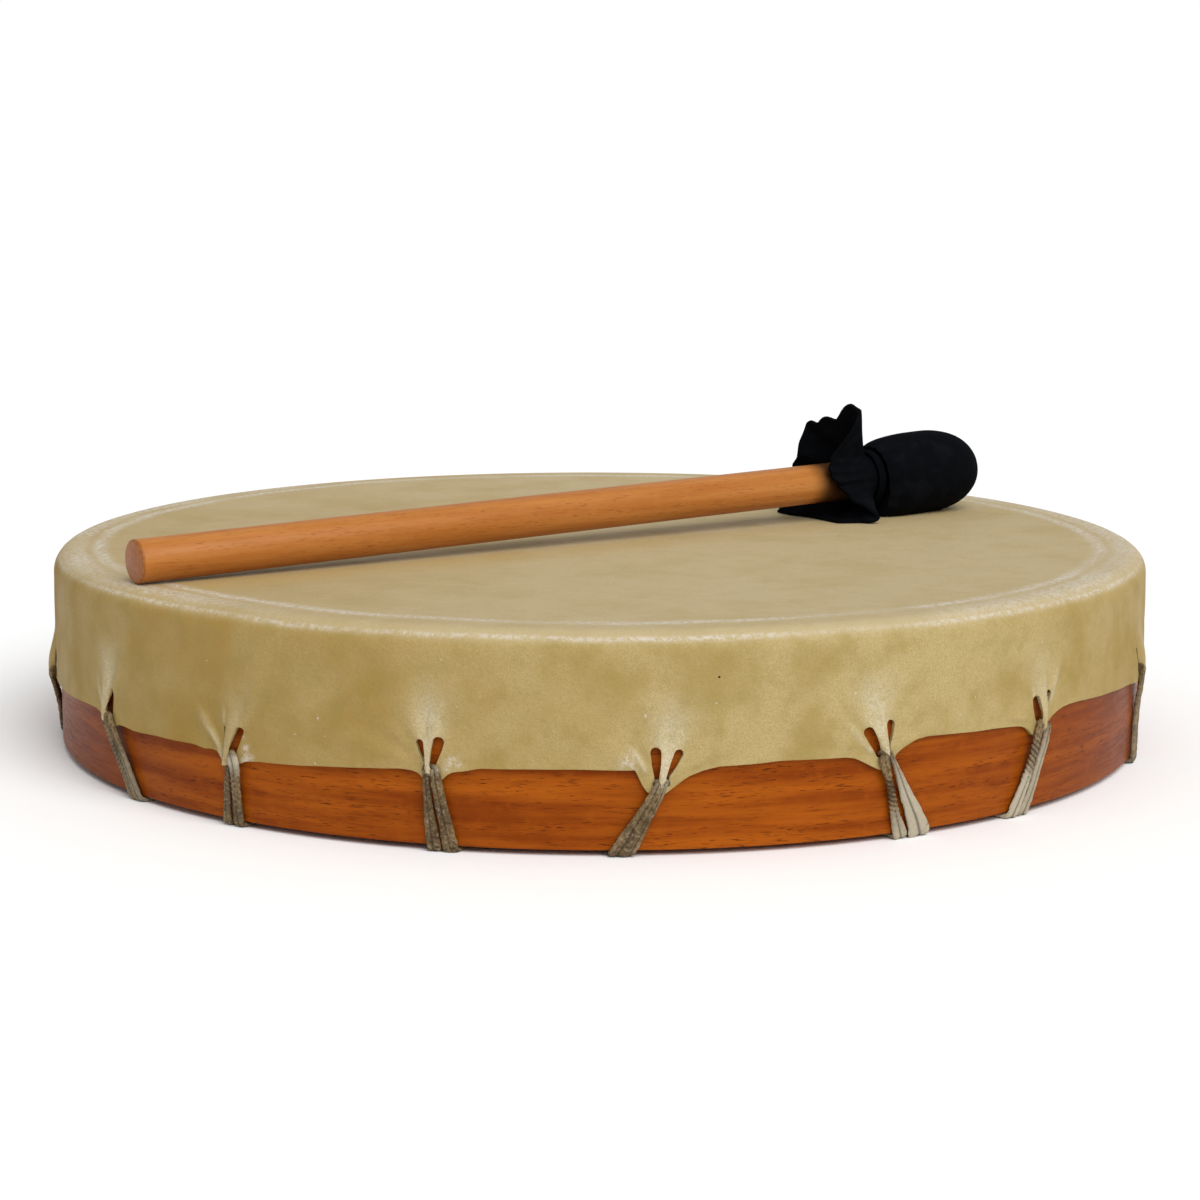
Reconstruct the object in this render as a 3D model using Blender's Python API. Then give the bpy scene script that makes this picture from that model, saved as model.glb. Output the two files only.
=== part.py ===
# A shaman's frame drum, lying head up on its laced underside, with its beater resting on
# the head. Units are metres and degrees. +Z is up, the drum's front faces -Y, and the
# origin is the middle of the drum's footprint, on the ground. An azimuth is counted from
# the front, and grows towards +X.

import math
from collections import namedtuple

import bmesh
import bpy
from mathutils import Matrix, Vector

# The drum as a whole
DRUM_DIAMETER = 0.400
DRUM_HEIGHT = 0.0710
FIT_GAP = 0.0003

# The bent-wood hoop
HOOP_WALL = 0.0080
HOOP_EDGE_RADIUS = 0.0058
HOOP_CHAMFER = 0.0010
HOOP_STEPS = 96

# The rawhide drumhead
HIDE_THICKNESS = 0.0013
HIDE_CLEARANCE = 0.0004
SHOULDER_STEPS = 3
SIDE_COLUMN_ARC = 4.2

# A pair of slots, measured across and up from the point between their lower ends
SLOT_HEIGHT = 0.0088
SLOT_TOP_WIDTH = 0.0018
SLOT_CLEARANCE = 0.0004
STRIP_WIDTH = 0.0018
STRIP_TOP_WIDTH = 0.0046
STRIP_TOP_BULGE = 0.0008
FLAP_HEIGHT = 0.0036
SCALLOP_WIDTH = 0.0220
PUCKER_HEIGHT = 0.0150

# The rawhide thongs, and the turns at which each one's arch behind the strip is drawn
THONG_WIDTH = 0.0026
THONG_THICKNESS = 0.0016
THONG_SINK = 0.0009
THONG_ARCH_RISE = 0.0038
ARCH_FOOT_RISE = 0.0020
ARCH_TURNS = (155.0, 90.0, 25.0)

# The ring that the hand holds
GRIP_RING_DIAMETER = 0.0720
GRIP_RING_SECTION = 0.0090
GRIP_RING_LIFT = 0.0004
GRIP_RING_STEPS = 24
GRIP_SECTION_STEPS = 6

# Where the beater lies, and its handle
BEATER_TURN = 33.6
BEATER_END_X = -0.1557
BEATER_END_Y = -0.1126
HANDLE_LENGTH = 0.3330
HANDLE_DIAMETER = 0.0150
HANDLE_EDGE = 0.0008
HANDLE_SOCKET_DEPTH = 0.0240
HANDLE_STEPS = 20

# The beater's bulb, its rings as shares of its length from the neck, and the curve of its
# round end
HEAD_LENGTH = 0.0555
HEAD_DIAMETER = 0.0324
HEAD_SINK = 0.0007
HEAD_LIFT = 0.0004
HEAD_STEPS = 24
NECK_DIAMETER = 0.0200
SHOULDER_DIAMETER = 0.0240
BULB_RINGS = (0.0, 0.12, 0.30, 0.50, 0.68, 0.84, 0.95, 0.985)
BULB_WIDEST = 0.50
BULB_END_SQUARENESS = 2.2
BULB_END_ROUNDNESS = 0.48

# The cuff behind the tie: how far back and out its narrow stretches come, how far back its
# wide ears stand, and each ear's turn round the handle (from the top, towards the back of
# the drum) with how far out it comes.
CUFF_LENGTH = 0.0165
CUFF_RADIUS = 0.0120
EAR_STAND = 0.0030
EAR_WIDTH = 34.0
EARS = ((-8.0, 0.0312), (43.0, 0.0290), (84.0, 0.0270), (122.0, 0.0262), (237.0, 0.0245))

# The cuff's section, as shares of the way back and out to its rim: where its hollow starts,
# and a middle point of its inner and of its outer side
CUFF_HOLLOW_START = 0.30
CUFF_INSIDE_BACK = 0.85
CUFF_INSIDE_OUT = 0.40
CUFF_OUTSIDE_BACK = 0.35
CUFF_OUTSIDE_OUT = 0.50

TIE_WIDTH = 0.0042
TIE_THICKNESS = 0.0019

# The lacings that show, from the left round the front to the right. Each has its azimuth
# at the slots, the azimuths of its two strands at the ground, the height of its slots'
# lower ends, and the height of the hide's edge to its left and to its right.
LACINGS_SHOWN = (
    (-80.0, (-79.6, -78.2), 0.0275, 0.0262, 0.0258),
    (-55.2, (-51.6, -50.2), 0.0290, 0.0265, 0.0252),
    (-36.0, (-36.9, -35.4), 0.0262, 0.0245, 0.0230),
    (-15.0, (-15.0, -13.5), 0.0285, 0.0262, 0.0267),
    (5.6, (1.5, 3.0), 0.0254, 0.0281, 0.0281),
    (26.1, (28.3, 30.3), 0.0300, 0.0280, 0.0322),
    (46.4, (42.5, 44.1), 0.0330, 0.0303, 0.0330),
    (72.0, (72.4, 73.9), 0.0348, 0.0306, 0.0300),
)

# The lacings round the back. Their levels and leans swing to and fro by a sine wave, with
# its phase at the first of them and its step from each to the next, in radians.
BACK_LACINGS = 8
BACK_SLOT_LEVEL = 0.0290
BACK_EDGE_LEVEL = 0.0280
BACK_LEVEL_SWING = 0.0022
BACK_LEVEL_PHASE = 0.6
BACK_LEVEL_STEP = 2.1
BACK_STRAND_SPREAD = 1.5
BACK_LEAN_SWING = 2.4
BACK_LEAN_PHASE = 1.0
BACK_LEAN_STEP = 1.7

# Sizes that follow from the ones above
HIDE_RADIUS = DRUM_DIAMETER / 2
HOOP_RADIUS = HIDE_RADIUS - HIDE_THICKNESS - HIDE_CLEARANCE
HOOP_INNER_RADIUS = HOOP_RADIUS - HOOP_WALL
HOOP_BOTTOM = THONG_THICKNESS + FIT_GAP
HOOP_TOP = DRUM_HEIGHT - HIDE_THICKNESS - HIDE_CLEARANCE
SHOULDER_RADIUS = HOOP_EDGE_RADIUS + HIDE_CLEARANCE + HIDE_THICKNESS
STRIP_BULGE = THONG_THICKNESS + 2 * FIT_GAP + HIDE_THICKNESS - THONG_SINK
GRIP_RING_HEIGHT = GRIP_RING_LIFT + GRIP_RING_SECTION / 2
NECK_END = HANDLE_LENGTH - HANDLE_SOCKET_DEPTH
NECK_START = NECK_END - TIE_WIDTH - 4 * FIT_GAP

WOOD_ORANGE = (0.46, 0.165, 0.040)
DOWEL_ORANGE = (0.56, 0.235, 0.070)
RAWHIDE_OLIVE = (0.50, 0.41, 0.215)
THONG_BROWN = (0.23, 0.165, 0.10)
SUEDE_BLACK = (0.006, 0.008, 0.011)

Lacing = namedtuple("Lacing", "azimuth strands slot left_edge right_edge")
SlotRow = namedtuple("SlotRow", "height strip_side outer_side bulge")
Fan = namedtuple("Fan", "lacing half_arc left right heads")


def at(azimuth, radius, height):
    """A point on a circle round the drum's middle."""
    angle = math.radians(azimuth)
    return Vector((radius * math.sin(angle), -radius * math.cos(angle), height))


def degrees_of(length):
    """The angle that a length takes up round the hide's side."""
    return math.degrees(length / HIDE_RADIUS)


def blend(low, high, share):
    return low + (high - low) * share


def finish(colour, name, roughness):
    material = bpy.data.materials.new(name)
    material.use_nodes = True
    shader = material.node_tree.nodes["Principled BSDF"]
    shader.inputs["Base Color"].default_value = (*colour, 1.0)
    shader.inputs["Roughness"].default_value = roughness
    shader.inputs["Metallic"].default_value = 0.0
    return material


def place(bm, name, material, smooth_angle=40.0):
    """Makes an object of a finished bmesh."""
    bmesh.ops.recalc_face_normals(bm, faces=bm.faces)
    mesh = bpy.data.meshes.new(name)
    bm.to_mesh(mesh)
    bm.free()
    mesh.shade_smooth()
    mesh.set_sharp_from_angle(angle=math.radians(smooth_angle))
    mesh.materials.append(material)
    piece = bpy.data.objects.new(name, mesh)
    bpy.context.scene.collection.objects.link(piece)
    return piece


def bridge_rings(bm, rings, closed):
    """Joins equal rings of vertices with faces, in order, and caps the ends if not closed."""
    pairs = list(zip(rings, rings[1:]))
    if closed:
        pairs.append((rings[-1], rings[0]))
    for first, second in pairs:
        count = len(first)
        for index in range(count):
            following = (index + 1) % count
            bm.faces.new((first[index], first[following], second[following], second[index]))
    if not closed:
        bm.faces.new(rings[0])
        bm.faces.new(list(reversed(rings[-1])))


def turned_ring(profile, steps):
    """A closed outline of (radius, height) pairs, spun round the drum's middle."""
    bm = bmesh.new()
    corners = [bm.verts.new((0.0, -radius, height)) for radius, height in profile]
    edges = [bm.edges.new((corner, corners[(index + 1) % len(corners)]))
             for index, corner in enumerate(corners)]
    bmesh.ops.spin(bm, geom=corners + edges, cent=(0, 0, 0), axis=(0, 0, 1),
                   angle=math.tau, steps=steps, use_merge=True)
    return bm


# Every lacing: the ones that show, then the ones round the back, which are spaced evenly
# between the last and the first and lean to alternate sides.
def all_lacings():
    lacings = [Lacing(*shown) for shown in LACINGS_SHOWN]
    start = lacings[-1].azimuth
    whole_arc = 360.0 + lacings[0].azimuth - start
    for index in range(BACK_LACINGS):
        azimuth = start + whole_arc * (index + 1) / (BACK_LACINGS + 1)
        swing = BACK_LEVEL_SWING * math.sin(BACK_LEVEL_PHASE + BACK_LEVEL_STEP * index)
        middle = azimuth + BACK_LEAN_SWING * math.sin(BACK_LEAN_PHASE + BACK_LEAN_STEP * index)
        strands = (middle - BACK_STRAND_SPREAD / 2, middle + BACK_STRAND_SPREAD / 2)
        level = BACK_EDGE_LEVEL + swing
        lacings.append(Lacing(azimuth, strands, BACK_SLOT_LEVEL + swing,
                              level, level + swing / 2))
    return lacings


LACINGS = all_lacings()


# The hoop: a bent-wood ring that stands on the thongs passing under it. Its top outer edge
# is rounded, where the hide turns over it.
def make_hoop(material):
    profile = []
    for step in range(SHOULDER_STEPS + 1):
        turn = math.radians(90.0 * step / SHOULDER_STEPS)
        profile.append((HOOP_RADIUS - HOOP_EDGE_RADIUS * (1 - math.cos(turn)),
                        HOOP_TOP - HOOP_EDGE_RADIUS * (1 - math.sin(turn))))
    profile += [
        (HOOP_INNER_RADIUS, HOOP_TOP),
        (HOOP_INNER_RADIUS, HOOP_BOTTOM),
        (HOOP_RADIUS - HOOP_CHAMFER, HOOP_BOTTOM),
        (HOOP_RADIUS, HOOP_BOTTOM + HOOP_CHAMFER),
    ]
    place(turned_ring(profile, HOOP_STEPS), "hoop", material)


# The slots' rows, up from their lower ends. Each has its height, half the strip between the
# two slots, the slots' outer side, and how far the strip stands out over the thong.
def slot_rows():
    half_strip = STRIP_WIDTH / 2
    outer = half_strip + FIT_GAP + THONG_WIDTH + SLOT_CLEARANCE
    bend = 2 * FIT_GAP + HIDE_THICKNESS / 2
    arch_foot = THONG_ARCH_RISE - THONG_WIDTH / 2 - bend
    arch_head = THONG_ARCH_RISE + THONG_WIDTH / 2 + bend
    half_top = STRIP_TOP_WIDTH / 2
    return (
        SlotRow(0.0, half_strip, outer, 0.0),
        SlotRow(arch_foot, half_strip, outer, STRIP_BULGE),
        SlotRow(arch_head, half_strip + SLOT_CLEARANCE, outer + SLOT_CLEARANCE, STRIP_BULGE),
        SlotRow(SLOT_HEIGHT, half_top, half_top + SLOT_TOP_WIDTH, STRIP_TOP_BULGE),
    )


def hide_vertex(bm, azimuth, height, bulge=0.0):
    return bm.verts.new(at(azimuth, HIDE_RADIUS + bulge, height))


def top_of(lacing):
    """The height to which the hide is puckered above a lacing."""
    return lacing.slot + SLOT_HEIGHT + PUCKER_HEIGHT


# The hide round one lacing: six columns of vertices, from the hide's edge up to the slots'
# upper ends, with a hole for each slot, and three vertices above them.
def make_fan(bm, lacing):
    rows = slot_rows()
    half_arc = degrees_of(SCALLOP_WIDTH / 2)
    slot_top = lacing.slot + SLOT_HEIGHT

    def outer_column(azimuth, edge):
        return [hide_vertex(bm, azimuth, blend(edge, slot_top, index / len(rows)))
                for index in range(len(rows) + 1)]

    def outside_slot(side):
        flap = hide_vertex(bm, lacing.azimuth + side * degrees_of(rows[0].outer_side),
                           lacing.slot - FLAP_HEIGHT)
        return [flap] + [
            hide_vertex(bm, lacing.azimuth + side * degrees_of(row.outer_side),
                        lacing.slot + row.height) for row in rows]

    def beside_strip(side):
        flap = hide_vertex(bm, lacing.azimuth + side * degrees_of(rows[0].strip_side),
                           lacing.slot - FLAP_HEIGHT)
        return [flap] + [
            hide_vertex(bm, lacing.azimuth + side * degrees_of(row.strip_side),
                        lacing.slot + row.height, row.bulge) for row in rows]

    left = outer_column(lacing.azimuth - half_arc, lacing.left_edge)
    right = outer_column(lacing.azimuth + half_arc, lacing.right_edge)
    columns = [left, outside_slot(-1), beside_strip(-1), beside_strip(1), outside_slot(1), right]
    slots = (1, 3)
    for column, (near, far) in enumerate(zip(columns, columns[1:])):
        for row in range(len(rows)):
            if row == 0 or column not in slots:
                bm.faces.new((near[row], far[row], far[row + 1], near[row + 1]))

    heads = [hide_vertex(bm, lacing.azimuth + side * half_arc, top_of(lacing))
             for side in (-1, 0, 1)]
    feet = [column[-1] for column in columns]
    bm.faces.new((feet[0], feet[1], feet[2], heads[1], heads[0]))
    bm.faces.new((feet[2], feet[3], heads[1]))
    bm.faces.new((feet[3], feet[4], feet[5], heads[2], heads[1]))
    return Fan(lacing, half_arc, left, right, heads)


# The hide between two lacings: plain columns from its edge up to the puckers' top. It gives
# the azimuths and vertices along that top, after the first fan's.
def fill_between(bm, here, following):
    start = here.lacing.azimuth + here.half_arc
    span = (following.lacing.azimuth - following.half_arc - start) % 360.0
    count = max(1, math.ceil(span / SIDE_COLUMN_ARC))
    lower = here.right
    upper = here.heads[-1]
    top = []
    for index in range(1, count):
        share = index / count
        azimuth = start + span * share
        foot = hide_vertex(bm, azimuth, blend(here.lacing.right_edge,
                                              following.lacing.left_edge, share))
        head = hide_vertex(bm, azimuth, blend(top_of(here.lacing),
                                              top_of(following.lacing), share))
        bm.faces.new([lower[0], foot, head, upper] + list(reversed(lower[1:])))
        lower = [foot]
        upper = head
        top.append((azimuth, head))
    bm.faces.new([lower[0]] + following.left + [following.heads[0], upper]
                 + list(reversed(lower[1:])))
    return top


# The drumhead: one open sheet of rawhide, made as its outer side and then given its
# thickness inwards.
def make_drumhead(material):
    bm = bmesh.new()
    fans = [make_fan(bm, lacing) for lacing in LACINGS]
    ring = []
    for number, here in enumerate(fans):
        for side, head in zip((-1, 0, 1), here.heads):
            ring.append((here.lacing.azimuth + side * here.half_arc, head))
        ring.extend(fill_between(bm, here, fans[(number + 1) % len(fans)]))

    shoulder_foot = DRUM_HEIGHT - SHOULDER_RADIUS
    lower = [vertex for azimuth, vertex in ring]
    for step in range(SHOULDER_STEPS + 1):
        turn = math.radians(90.0 * step / SHOULDER_STEPS)
        radius = HIDE_RADIUS - SHOULDER_RADIUS * (1 - math.cos(turn))
        height = shoulder_foot + SHOULDER_RADIUS * math.sin(turn)
        upper = [bm.verts.new(at(azimuth, radius, height)) for azimuth, vertex in ring]
        for index, vertex in enumerate(lower):
            following = (index + 1) % len(lower)
            bm.faces.new((vertex, lower[following], upper[following], upper[index]))
        lower = upper
    bm.faces.new(lower)

    drumhead = place(bm, "drumhead", material, smooth_angle=35.0)
    wall = drumhead.modifiers.new("hide thickness", 'SOLIDIFY')
    wall.thickness = HIDE_THICKNESS
    wall.offset = -1.0
    wall.use_even_offset = True


# A lacing: one flat thong that runs from the grip ring, under the hoop, up its side, behind
# the strip of hide and back. Each station on its way has its place, the angle that its
# outer face is turned to (0 up, 90 outwards, 180 down) and the azimuth that it faces.
def make_lacing(number, lacing, material):
    half = THONG_THICKNESS / 2
    ring_edge = (GRIP_RING_DIAMETER + GRIP_RING_SECTION) / 2 + 2 * FIT_GAP
    leg = STRIP_WIDTH / 2 + FIT_GAP + THONG_WIDTH / 2
    over_hide = HIDE_RADIUS + FIT_GAP + half
    in_slot = HIDE_RADIUS + STRIP_BULGE - HIDE_THICKNESS - FIT_GAP - half
    corner_height = HOOP_BOTTOM + HOOP_CHAMFER
    corner_wrap = HOOP_CHAMFER + FIT_GAP + half
    slot_foot = lacing.slot + FIT_GAP
    hide_edge = lacing.slot - FLAP_HEIGHT
    ring_arc = 360.0 / (2 * len(LACINGS))

    def strand(side):
        ground = lacing.strands[0 if side < 0 else 1]
        ring_azimuth = LACINGS[0].azimuth + (2 * number + side / 2) * ring_arc
        towards_slot = lacing.azimuth + side * degrees_of(leg)
        stations = [
            (at(ring_azimuth, ring_edge, GRIP_RING_HEIGHT), 180.0, ring_azimuth),
            (at(ground, HOOP_INNER_RADIUS - HOOP_CHAMFER, half), 180.0, ground),
        ]
        for turn in (0.0, 45.0, 90.0):
            radians = math.radians(turn)
            radius = HOOP_RADIUS - HOOP_CHAMFER + corner_wrap * math.sin(radians)
            height = corner_height - corner_wrap * math.cos(radians)
            stations.append((at(ground, radius, height), 180.0 - turn, ground))
        share = (hide_edge - corner_height) / (slot_foot - corner_height)
        at_edge = blend(ground, towards_slot, share)
        stations.append((at(at_edge, over_hide, hide_edge), 90.0, towards_slot))
        stations.append((at(towards_slot, over_hide, slot_foot), 90.0, towards_slot))
        return stations

    def arch():
        stations = []
        for turn in ARCH_TURNS:
            radians = math.radians(turn)
            across = lacing.azimuth + degrees_of(leg * math.cos(radians))
            rise = blend(ARCH_FOOT_RISE, THONG_ARCH_RISE, math.sin(radians))
            stations.append((at(across, in_slot, lacing.slot + rise), 90.0, across))
        return stations

    stations = strand(-1) + arch() + list(reversed(strand(1)))
    bm = bmesh.new()
    rings = []
    for index, (centre, facing, heading) in enumerate(stations):
        before = stations[max(index - 1, 0)][0]
        after = stations[min(index + 1, len(stations) - 1)][0]
        along = (after - before).normalized()
        tilt = math.radians(facing)
        outward = at(heading, math.sin(tilt), math.cos(tilt))
        across = along.cross(outward).normalized() * (THONG_WIDTH / 2)
        face = outward * half
        rings.append([bm.verts.new(centre + across + face), bm.verts.new(centre - across + face),
                      bm.verts.new(centre - across - face), bm.verts.new(centre + across - face)])
    bridge_rings(bm, rings, closed=False)
    place(bm, f"lacing_{number + 1:02d}", material, smooth_angle=50.0)


# The grip ring: a round ring that all the thongs are drawn to.
def make_grip_ring(material):
    section = GRIP_RING_SECTION / 2
    profile = []
    for step in range(GRIP_SECTION_STEPS):
        turn = math.tau * step / GRIP_SECTION_STEPS
        profile.append((GRIP_RING_DIAMETER / 2 + section * math.cos(turn),
                        GRIP_RING_HEIGHT - section * math.sin(turn)))
    place(turned_ring(profile, GRIP_RING_STEPS), "grip_ring", material, smooth_angle=80.0)


# The beater's own frame: its X runs from the handle's free end to the head's tip. The free
# end and the head both rest on the drumhead.
def beater_frame():
    rest = DRUM_HEIGHT + FIT_GAP
    end_height = rest + HANDLE_DIAMETER / 2
    rise = rest + HEAD_DIAMETER / 2 - HEAD_SINK - HEAD_LIFT - end_height
    tilt = math.asin(rise / (NECK_END + HEAD_LENGTH * BULB_WIDEST))
    return (Matrix.Translation((BEATER_END_X, BEATER_END_Y, end_height))
            @ Matrix.Rotation(math.radians(BEATER_TURN), 4, 'Z')
            @ Matrix.Rotation(-tilt, 4, 'Y'))


def beater_ring(bm, frame, along, radius, steps, floor=None, lift=0.0):
    """A ring round the beater's axis; along and radius are numbers or rules by angle."""
    ring = []
    for step in range(steps):
        turn = math.tau * step / steps
        size = radius(turn) if callable(radius) else radius
        shift = along(turn) if callable(along) else along
        point = frame @ Vector((shift, size * math.sin(turn), lift + size * math.cos(turn)))
        if floor is not None:
            point.z = max(point.z, floor)
        ring.append(bm.verts.new(point))
    return ring


def make_beater_handle(frame, material):
    bm = bmesh.new()
    radius = HANDLE_DIAMETER / 2
    rings = [beater_ring(bm, frame, along, size, HANDLE_STEPS) for along, size in (
        (0.0, radius - HANDLE_EDGE), (HANDLE_EDGE, radius), (HANDLE_LENGTH, radius))]
    bridge_rings(bm, rings, closed=False)
    place(bm, "beater_handle", material)


def ear_at(turn):
    """The cuff's rim at an angle: 0 in a narrow stretch to 1 at an ear, and its radius."""
    best = 0.0
    reach = CUFF_RADIUS
    for ear_turn, ear_reach in EARS:
        apart = abs((math.degrees(turn) - ear_turn + 180.0) % 360.0 - 180.0)
        share = math.cos(math.radians(90.0 * min(1.0, apart / EAR_WIDTH)))
        if share > best:
            best = share
            reach = ear_reach
    return best, blend(CUFF_RADIUS, reach, best)


def bulb_radius(share):
    """The bulb's radius at a share of its length from the neck to the tip."""
    offset = abs(share - BULB_WIDEST) / BULB_WIDEST
    if share < BULB_WIDEST:
        swell = math.cos(math.radians(90.0 * offset))
        return blend(SHOULDER_DIAMETER, HEAD_DIAMETER, swell) / 2
    return HEAD_DIAMETER / 2 * (1.0 - offset ** BULB_END_SQUARENESS) ** BULB_END_ROUNDNESS


# The head: a stuffed bulb, the neck that the tie draws in, and the cuff, which is hollow
# like a flower round the handle. What would sink below the drumhead is flattened.
def make_beater_head(frame, material):
    bm = bmesh.new()
    floor = DRUM_HEIGHT + FIT_GAP
    bore = HANDLE_DIAMETER / 2 + FIT_GAP
    neck = NECK_DIAMETER / 2

    def ring(along, radius, lift=0.0):
        return beater_ring(bm, frame, along, radius, HEAD_STEPS, floor, lift)

    def rim_back(turn):
        return NECK_START - blend(CUFF_LENGTH, EAR_STAND, ear_at(turn)[0])

    def rim_out(turn):
        return ear_at(turn)[1]

    rings = [
        ring(HANDLE_LENGTH + FIT_GAP, bore),
        ring(lambda turn: blend(NECK_START, rim_back(turn), CUFF_HOLLOW_START), bore),
        ring(lambda turn: blend(NECK_START, rim_back(turn), CUFF_INSIDE_BACK),
             lambda turn: blend(bore, rim_out(turn), CUFF_INSIDE_OUT)),
        ring(rim_back, rim_out),
        ring(lambda turn: blend(NECK_START, rim_back(turn), CUFF_OUTSIDE_BACK),
             lambda turn: blend(neck, rim_out(turn), CUFF_OUTSIDE_OUT)),
        ring(NECK_START, neck),
        ring(NECK_END, neck),
    ]
    for share in BULB_RINGS:
        radius = bulb_radius(share)
        rings.append(ring(NECK_END + HEAD_LENGTH * share, radius,
                          lift=HEAD_LIFT * radius / (HEAD_DIAMETER / 2)))
    bridge_rings(bm, rings, closed=False)
    place(bm, "beater_head", material, smooth_angle=60.0)


# The tie: a lace round the neck, between the cuff and the bulb.
def make_beater_tie(frame, material):
    bm = bmesh.new()
    end = NECK_END - 2 * FIT_GAP
    start = end - TIE_WIDTH
    inner = NECK_DIAMETER / 2 + FIT_GAP
    outer = inner + TIE_THICKNESS
    rings = [beater_ring(bm, frame, along, radius, HEAD_STEPS)
             for along, radius in ((start, inner), (start, outer), (end, outer), (end, inner))]
    bridge_rings(bm, rings, closed=True)
    place(bm, "beater_tie", material)


def main():
    for item in list(bpy.data.objects):
        bpy.data.objects.remove(item)

    varnished_wood = finish(WOOD_ORANGE, "varnished wood", 0.35)
    rawhide = finish(RAWHIDE_OLIVE, "rawhide", 0.6)
    thong = finish(THONG_BROWN, "rawhide thong", 0.7)
    dowel = finish(DOWEL_ORANGE, "oiled dowel", 0.5)
    suede = finish(SUEDE_BLACK, "black suede", 0.95)

    make_hoop(varnished_wood)
    make_drumhead(rawhide)
    for number, lacing in enumerate(LACINGS):
        make_lacing(number, lacing, thong)
    make_grip_ring(thong)

    frame = beater_frame()
    make_beater_handle(frame, dowel)
    make_beater_head(frame, suede)
    make_beater_tie(frame, suede)


main()
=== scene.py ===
# A shaman's frame drum with its beater: the looks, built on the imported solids. Units are
# metres and degrees. An azimuth is counted from the drum's front (-Y) and grows towards +X.

import math
from collections import namedtuple

import bmesh
import bpy
from mathutils import Matrix, Vector, noise


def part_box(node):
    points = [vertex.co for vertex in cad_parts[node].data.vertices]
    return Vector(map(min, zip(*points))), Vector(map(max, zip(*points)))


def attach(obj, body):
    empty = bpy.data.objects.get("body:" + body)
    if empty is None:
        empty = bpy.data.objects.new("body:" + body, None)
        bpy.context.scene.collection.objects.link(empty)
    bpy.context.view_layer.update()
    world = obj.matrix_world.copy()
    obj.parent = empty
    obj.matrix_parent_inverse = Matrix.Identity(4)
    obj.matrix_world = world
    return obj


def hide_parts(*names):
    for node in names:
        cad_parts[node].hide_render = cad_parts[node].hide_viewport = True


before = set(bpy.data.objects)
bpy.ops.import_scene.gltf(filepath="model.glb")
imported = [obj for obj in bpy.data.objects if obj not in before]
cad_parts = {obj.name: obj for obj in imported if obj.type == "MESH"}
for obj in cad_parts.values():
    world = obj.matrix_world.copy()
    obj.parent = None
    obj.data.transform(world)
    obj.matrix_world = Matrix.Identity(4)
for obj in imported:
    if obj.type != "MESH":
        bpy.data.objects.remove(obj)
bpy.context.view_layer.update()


# The view. The drum lies on a pale floor in an evenly lit white studio, seen from a little
# above. The camera's place, tilt and lens were fitted to the rim and the side of the drum.
EYE_DISTANCE = 1.1200
EYE_ELEVATION = 11.9
EYE_BASE_HEIGHT = 0.0017
CAMERA_PITCH = 9.6
CAMERA_ROLL = 0.18
FILM_WIDTH = 36.0
LENS = 89.4

camera = bpy.data.objects.new("camera", bpy.data.cameras.new("camera"))
camera.data.sensor_width = FILM_WIDTH
camera.data.lens = LENS
camera.data.clip_start = 0.05
camera.data.clip_end = 50.0
eye_turn = math.radians(EYE_ELEVATION)
camera.matrix_world = (
    Matrix.Translation((0.0, -EYE_DISTANCE * math.cos(eye_turn),
                        EYE_DISTANCE * math.sin(eye_turn) + EYE_BASE_HEIGHT))
    @ Matrix.Rotation(math.radians(90.0 - CAMERA_PITCH), 4, 'X')
    @ Matrix.Rotation(math.radians(CAMERA_ROLL), 4, 'Z'))
bpy.context.scene.collection.objects.link(camera)
bpy.context.scene.camera = camera
bpy.context.scene.view_settings.view_transform = 'Standard'


def add_node(tree, kind, feeds=None, **settings):
    """Adds a shader node; feeds gives its inputs, each as a value or as another's output."""
    node = tree.nodes.new(kind)
    for name, value in settings.items():
        setattr(node, name, value)
    for key, value in (feeds or {}).items():
        if isinstance(value, bpy.types.NodeSocket):
            tree.links.new(value, node.inputs[key])
        else:
            node.inputs[key].default_value = value
    return node


SEEN_WHITE = 1.0
SKY_STRENGTH = 0.50
FLOOR_PALE = (0.985, 0.985, 0.985, 1.0)
FLOOR_SIZE = 60.0
KEY_AZIMUTH = 28.0
KEY_HEIGHT = 46.0
KEY_STRENGTH = 2.50
KEY_SOFTNESS = 50.0

studio = bpy.data.worlds.new("studio")
studio.use_nodes = True
seen_directly = add_node(studio.node_tree, "ShaderNodeLightPath").outputs["Is Camera Ray"]
backdrop = add_node(studio.node_tree, "ShaderNodeMapRange", {
    "Value": seen_directly, "To Min": SKY_STRENGTH, "To Max": SEEN_WHITE})
paper = studio.node_tree.nodes["Background"]
paper.inputs["Color"].default_value = (1.0, 1.0, 1.0, 1.0)
studio.node_tree.links.new(backdrop.outputs["Result"], paper.inputs["Strength"])
bpy.context.scene.world = studio

key_light = bpy.data.objects.new("key_light", bpy.data.lights.new("key_light", 'SUN'))
key_light.data.energy = KEY_STRENGTH
key_light.data.angle = math.radians(KEY_SOFTNESS)
key_light.matrix_world = (Matrix.Rotation(math.radians(KEY_AZIMUTH), 4, 'Z')
                          @ Matrix.Rotation(math.radians(90.0 - KEY_HEIGHT), 4, 'X'))
bpy.context.scene.collection.objects.link(key_light)

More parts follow.
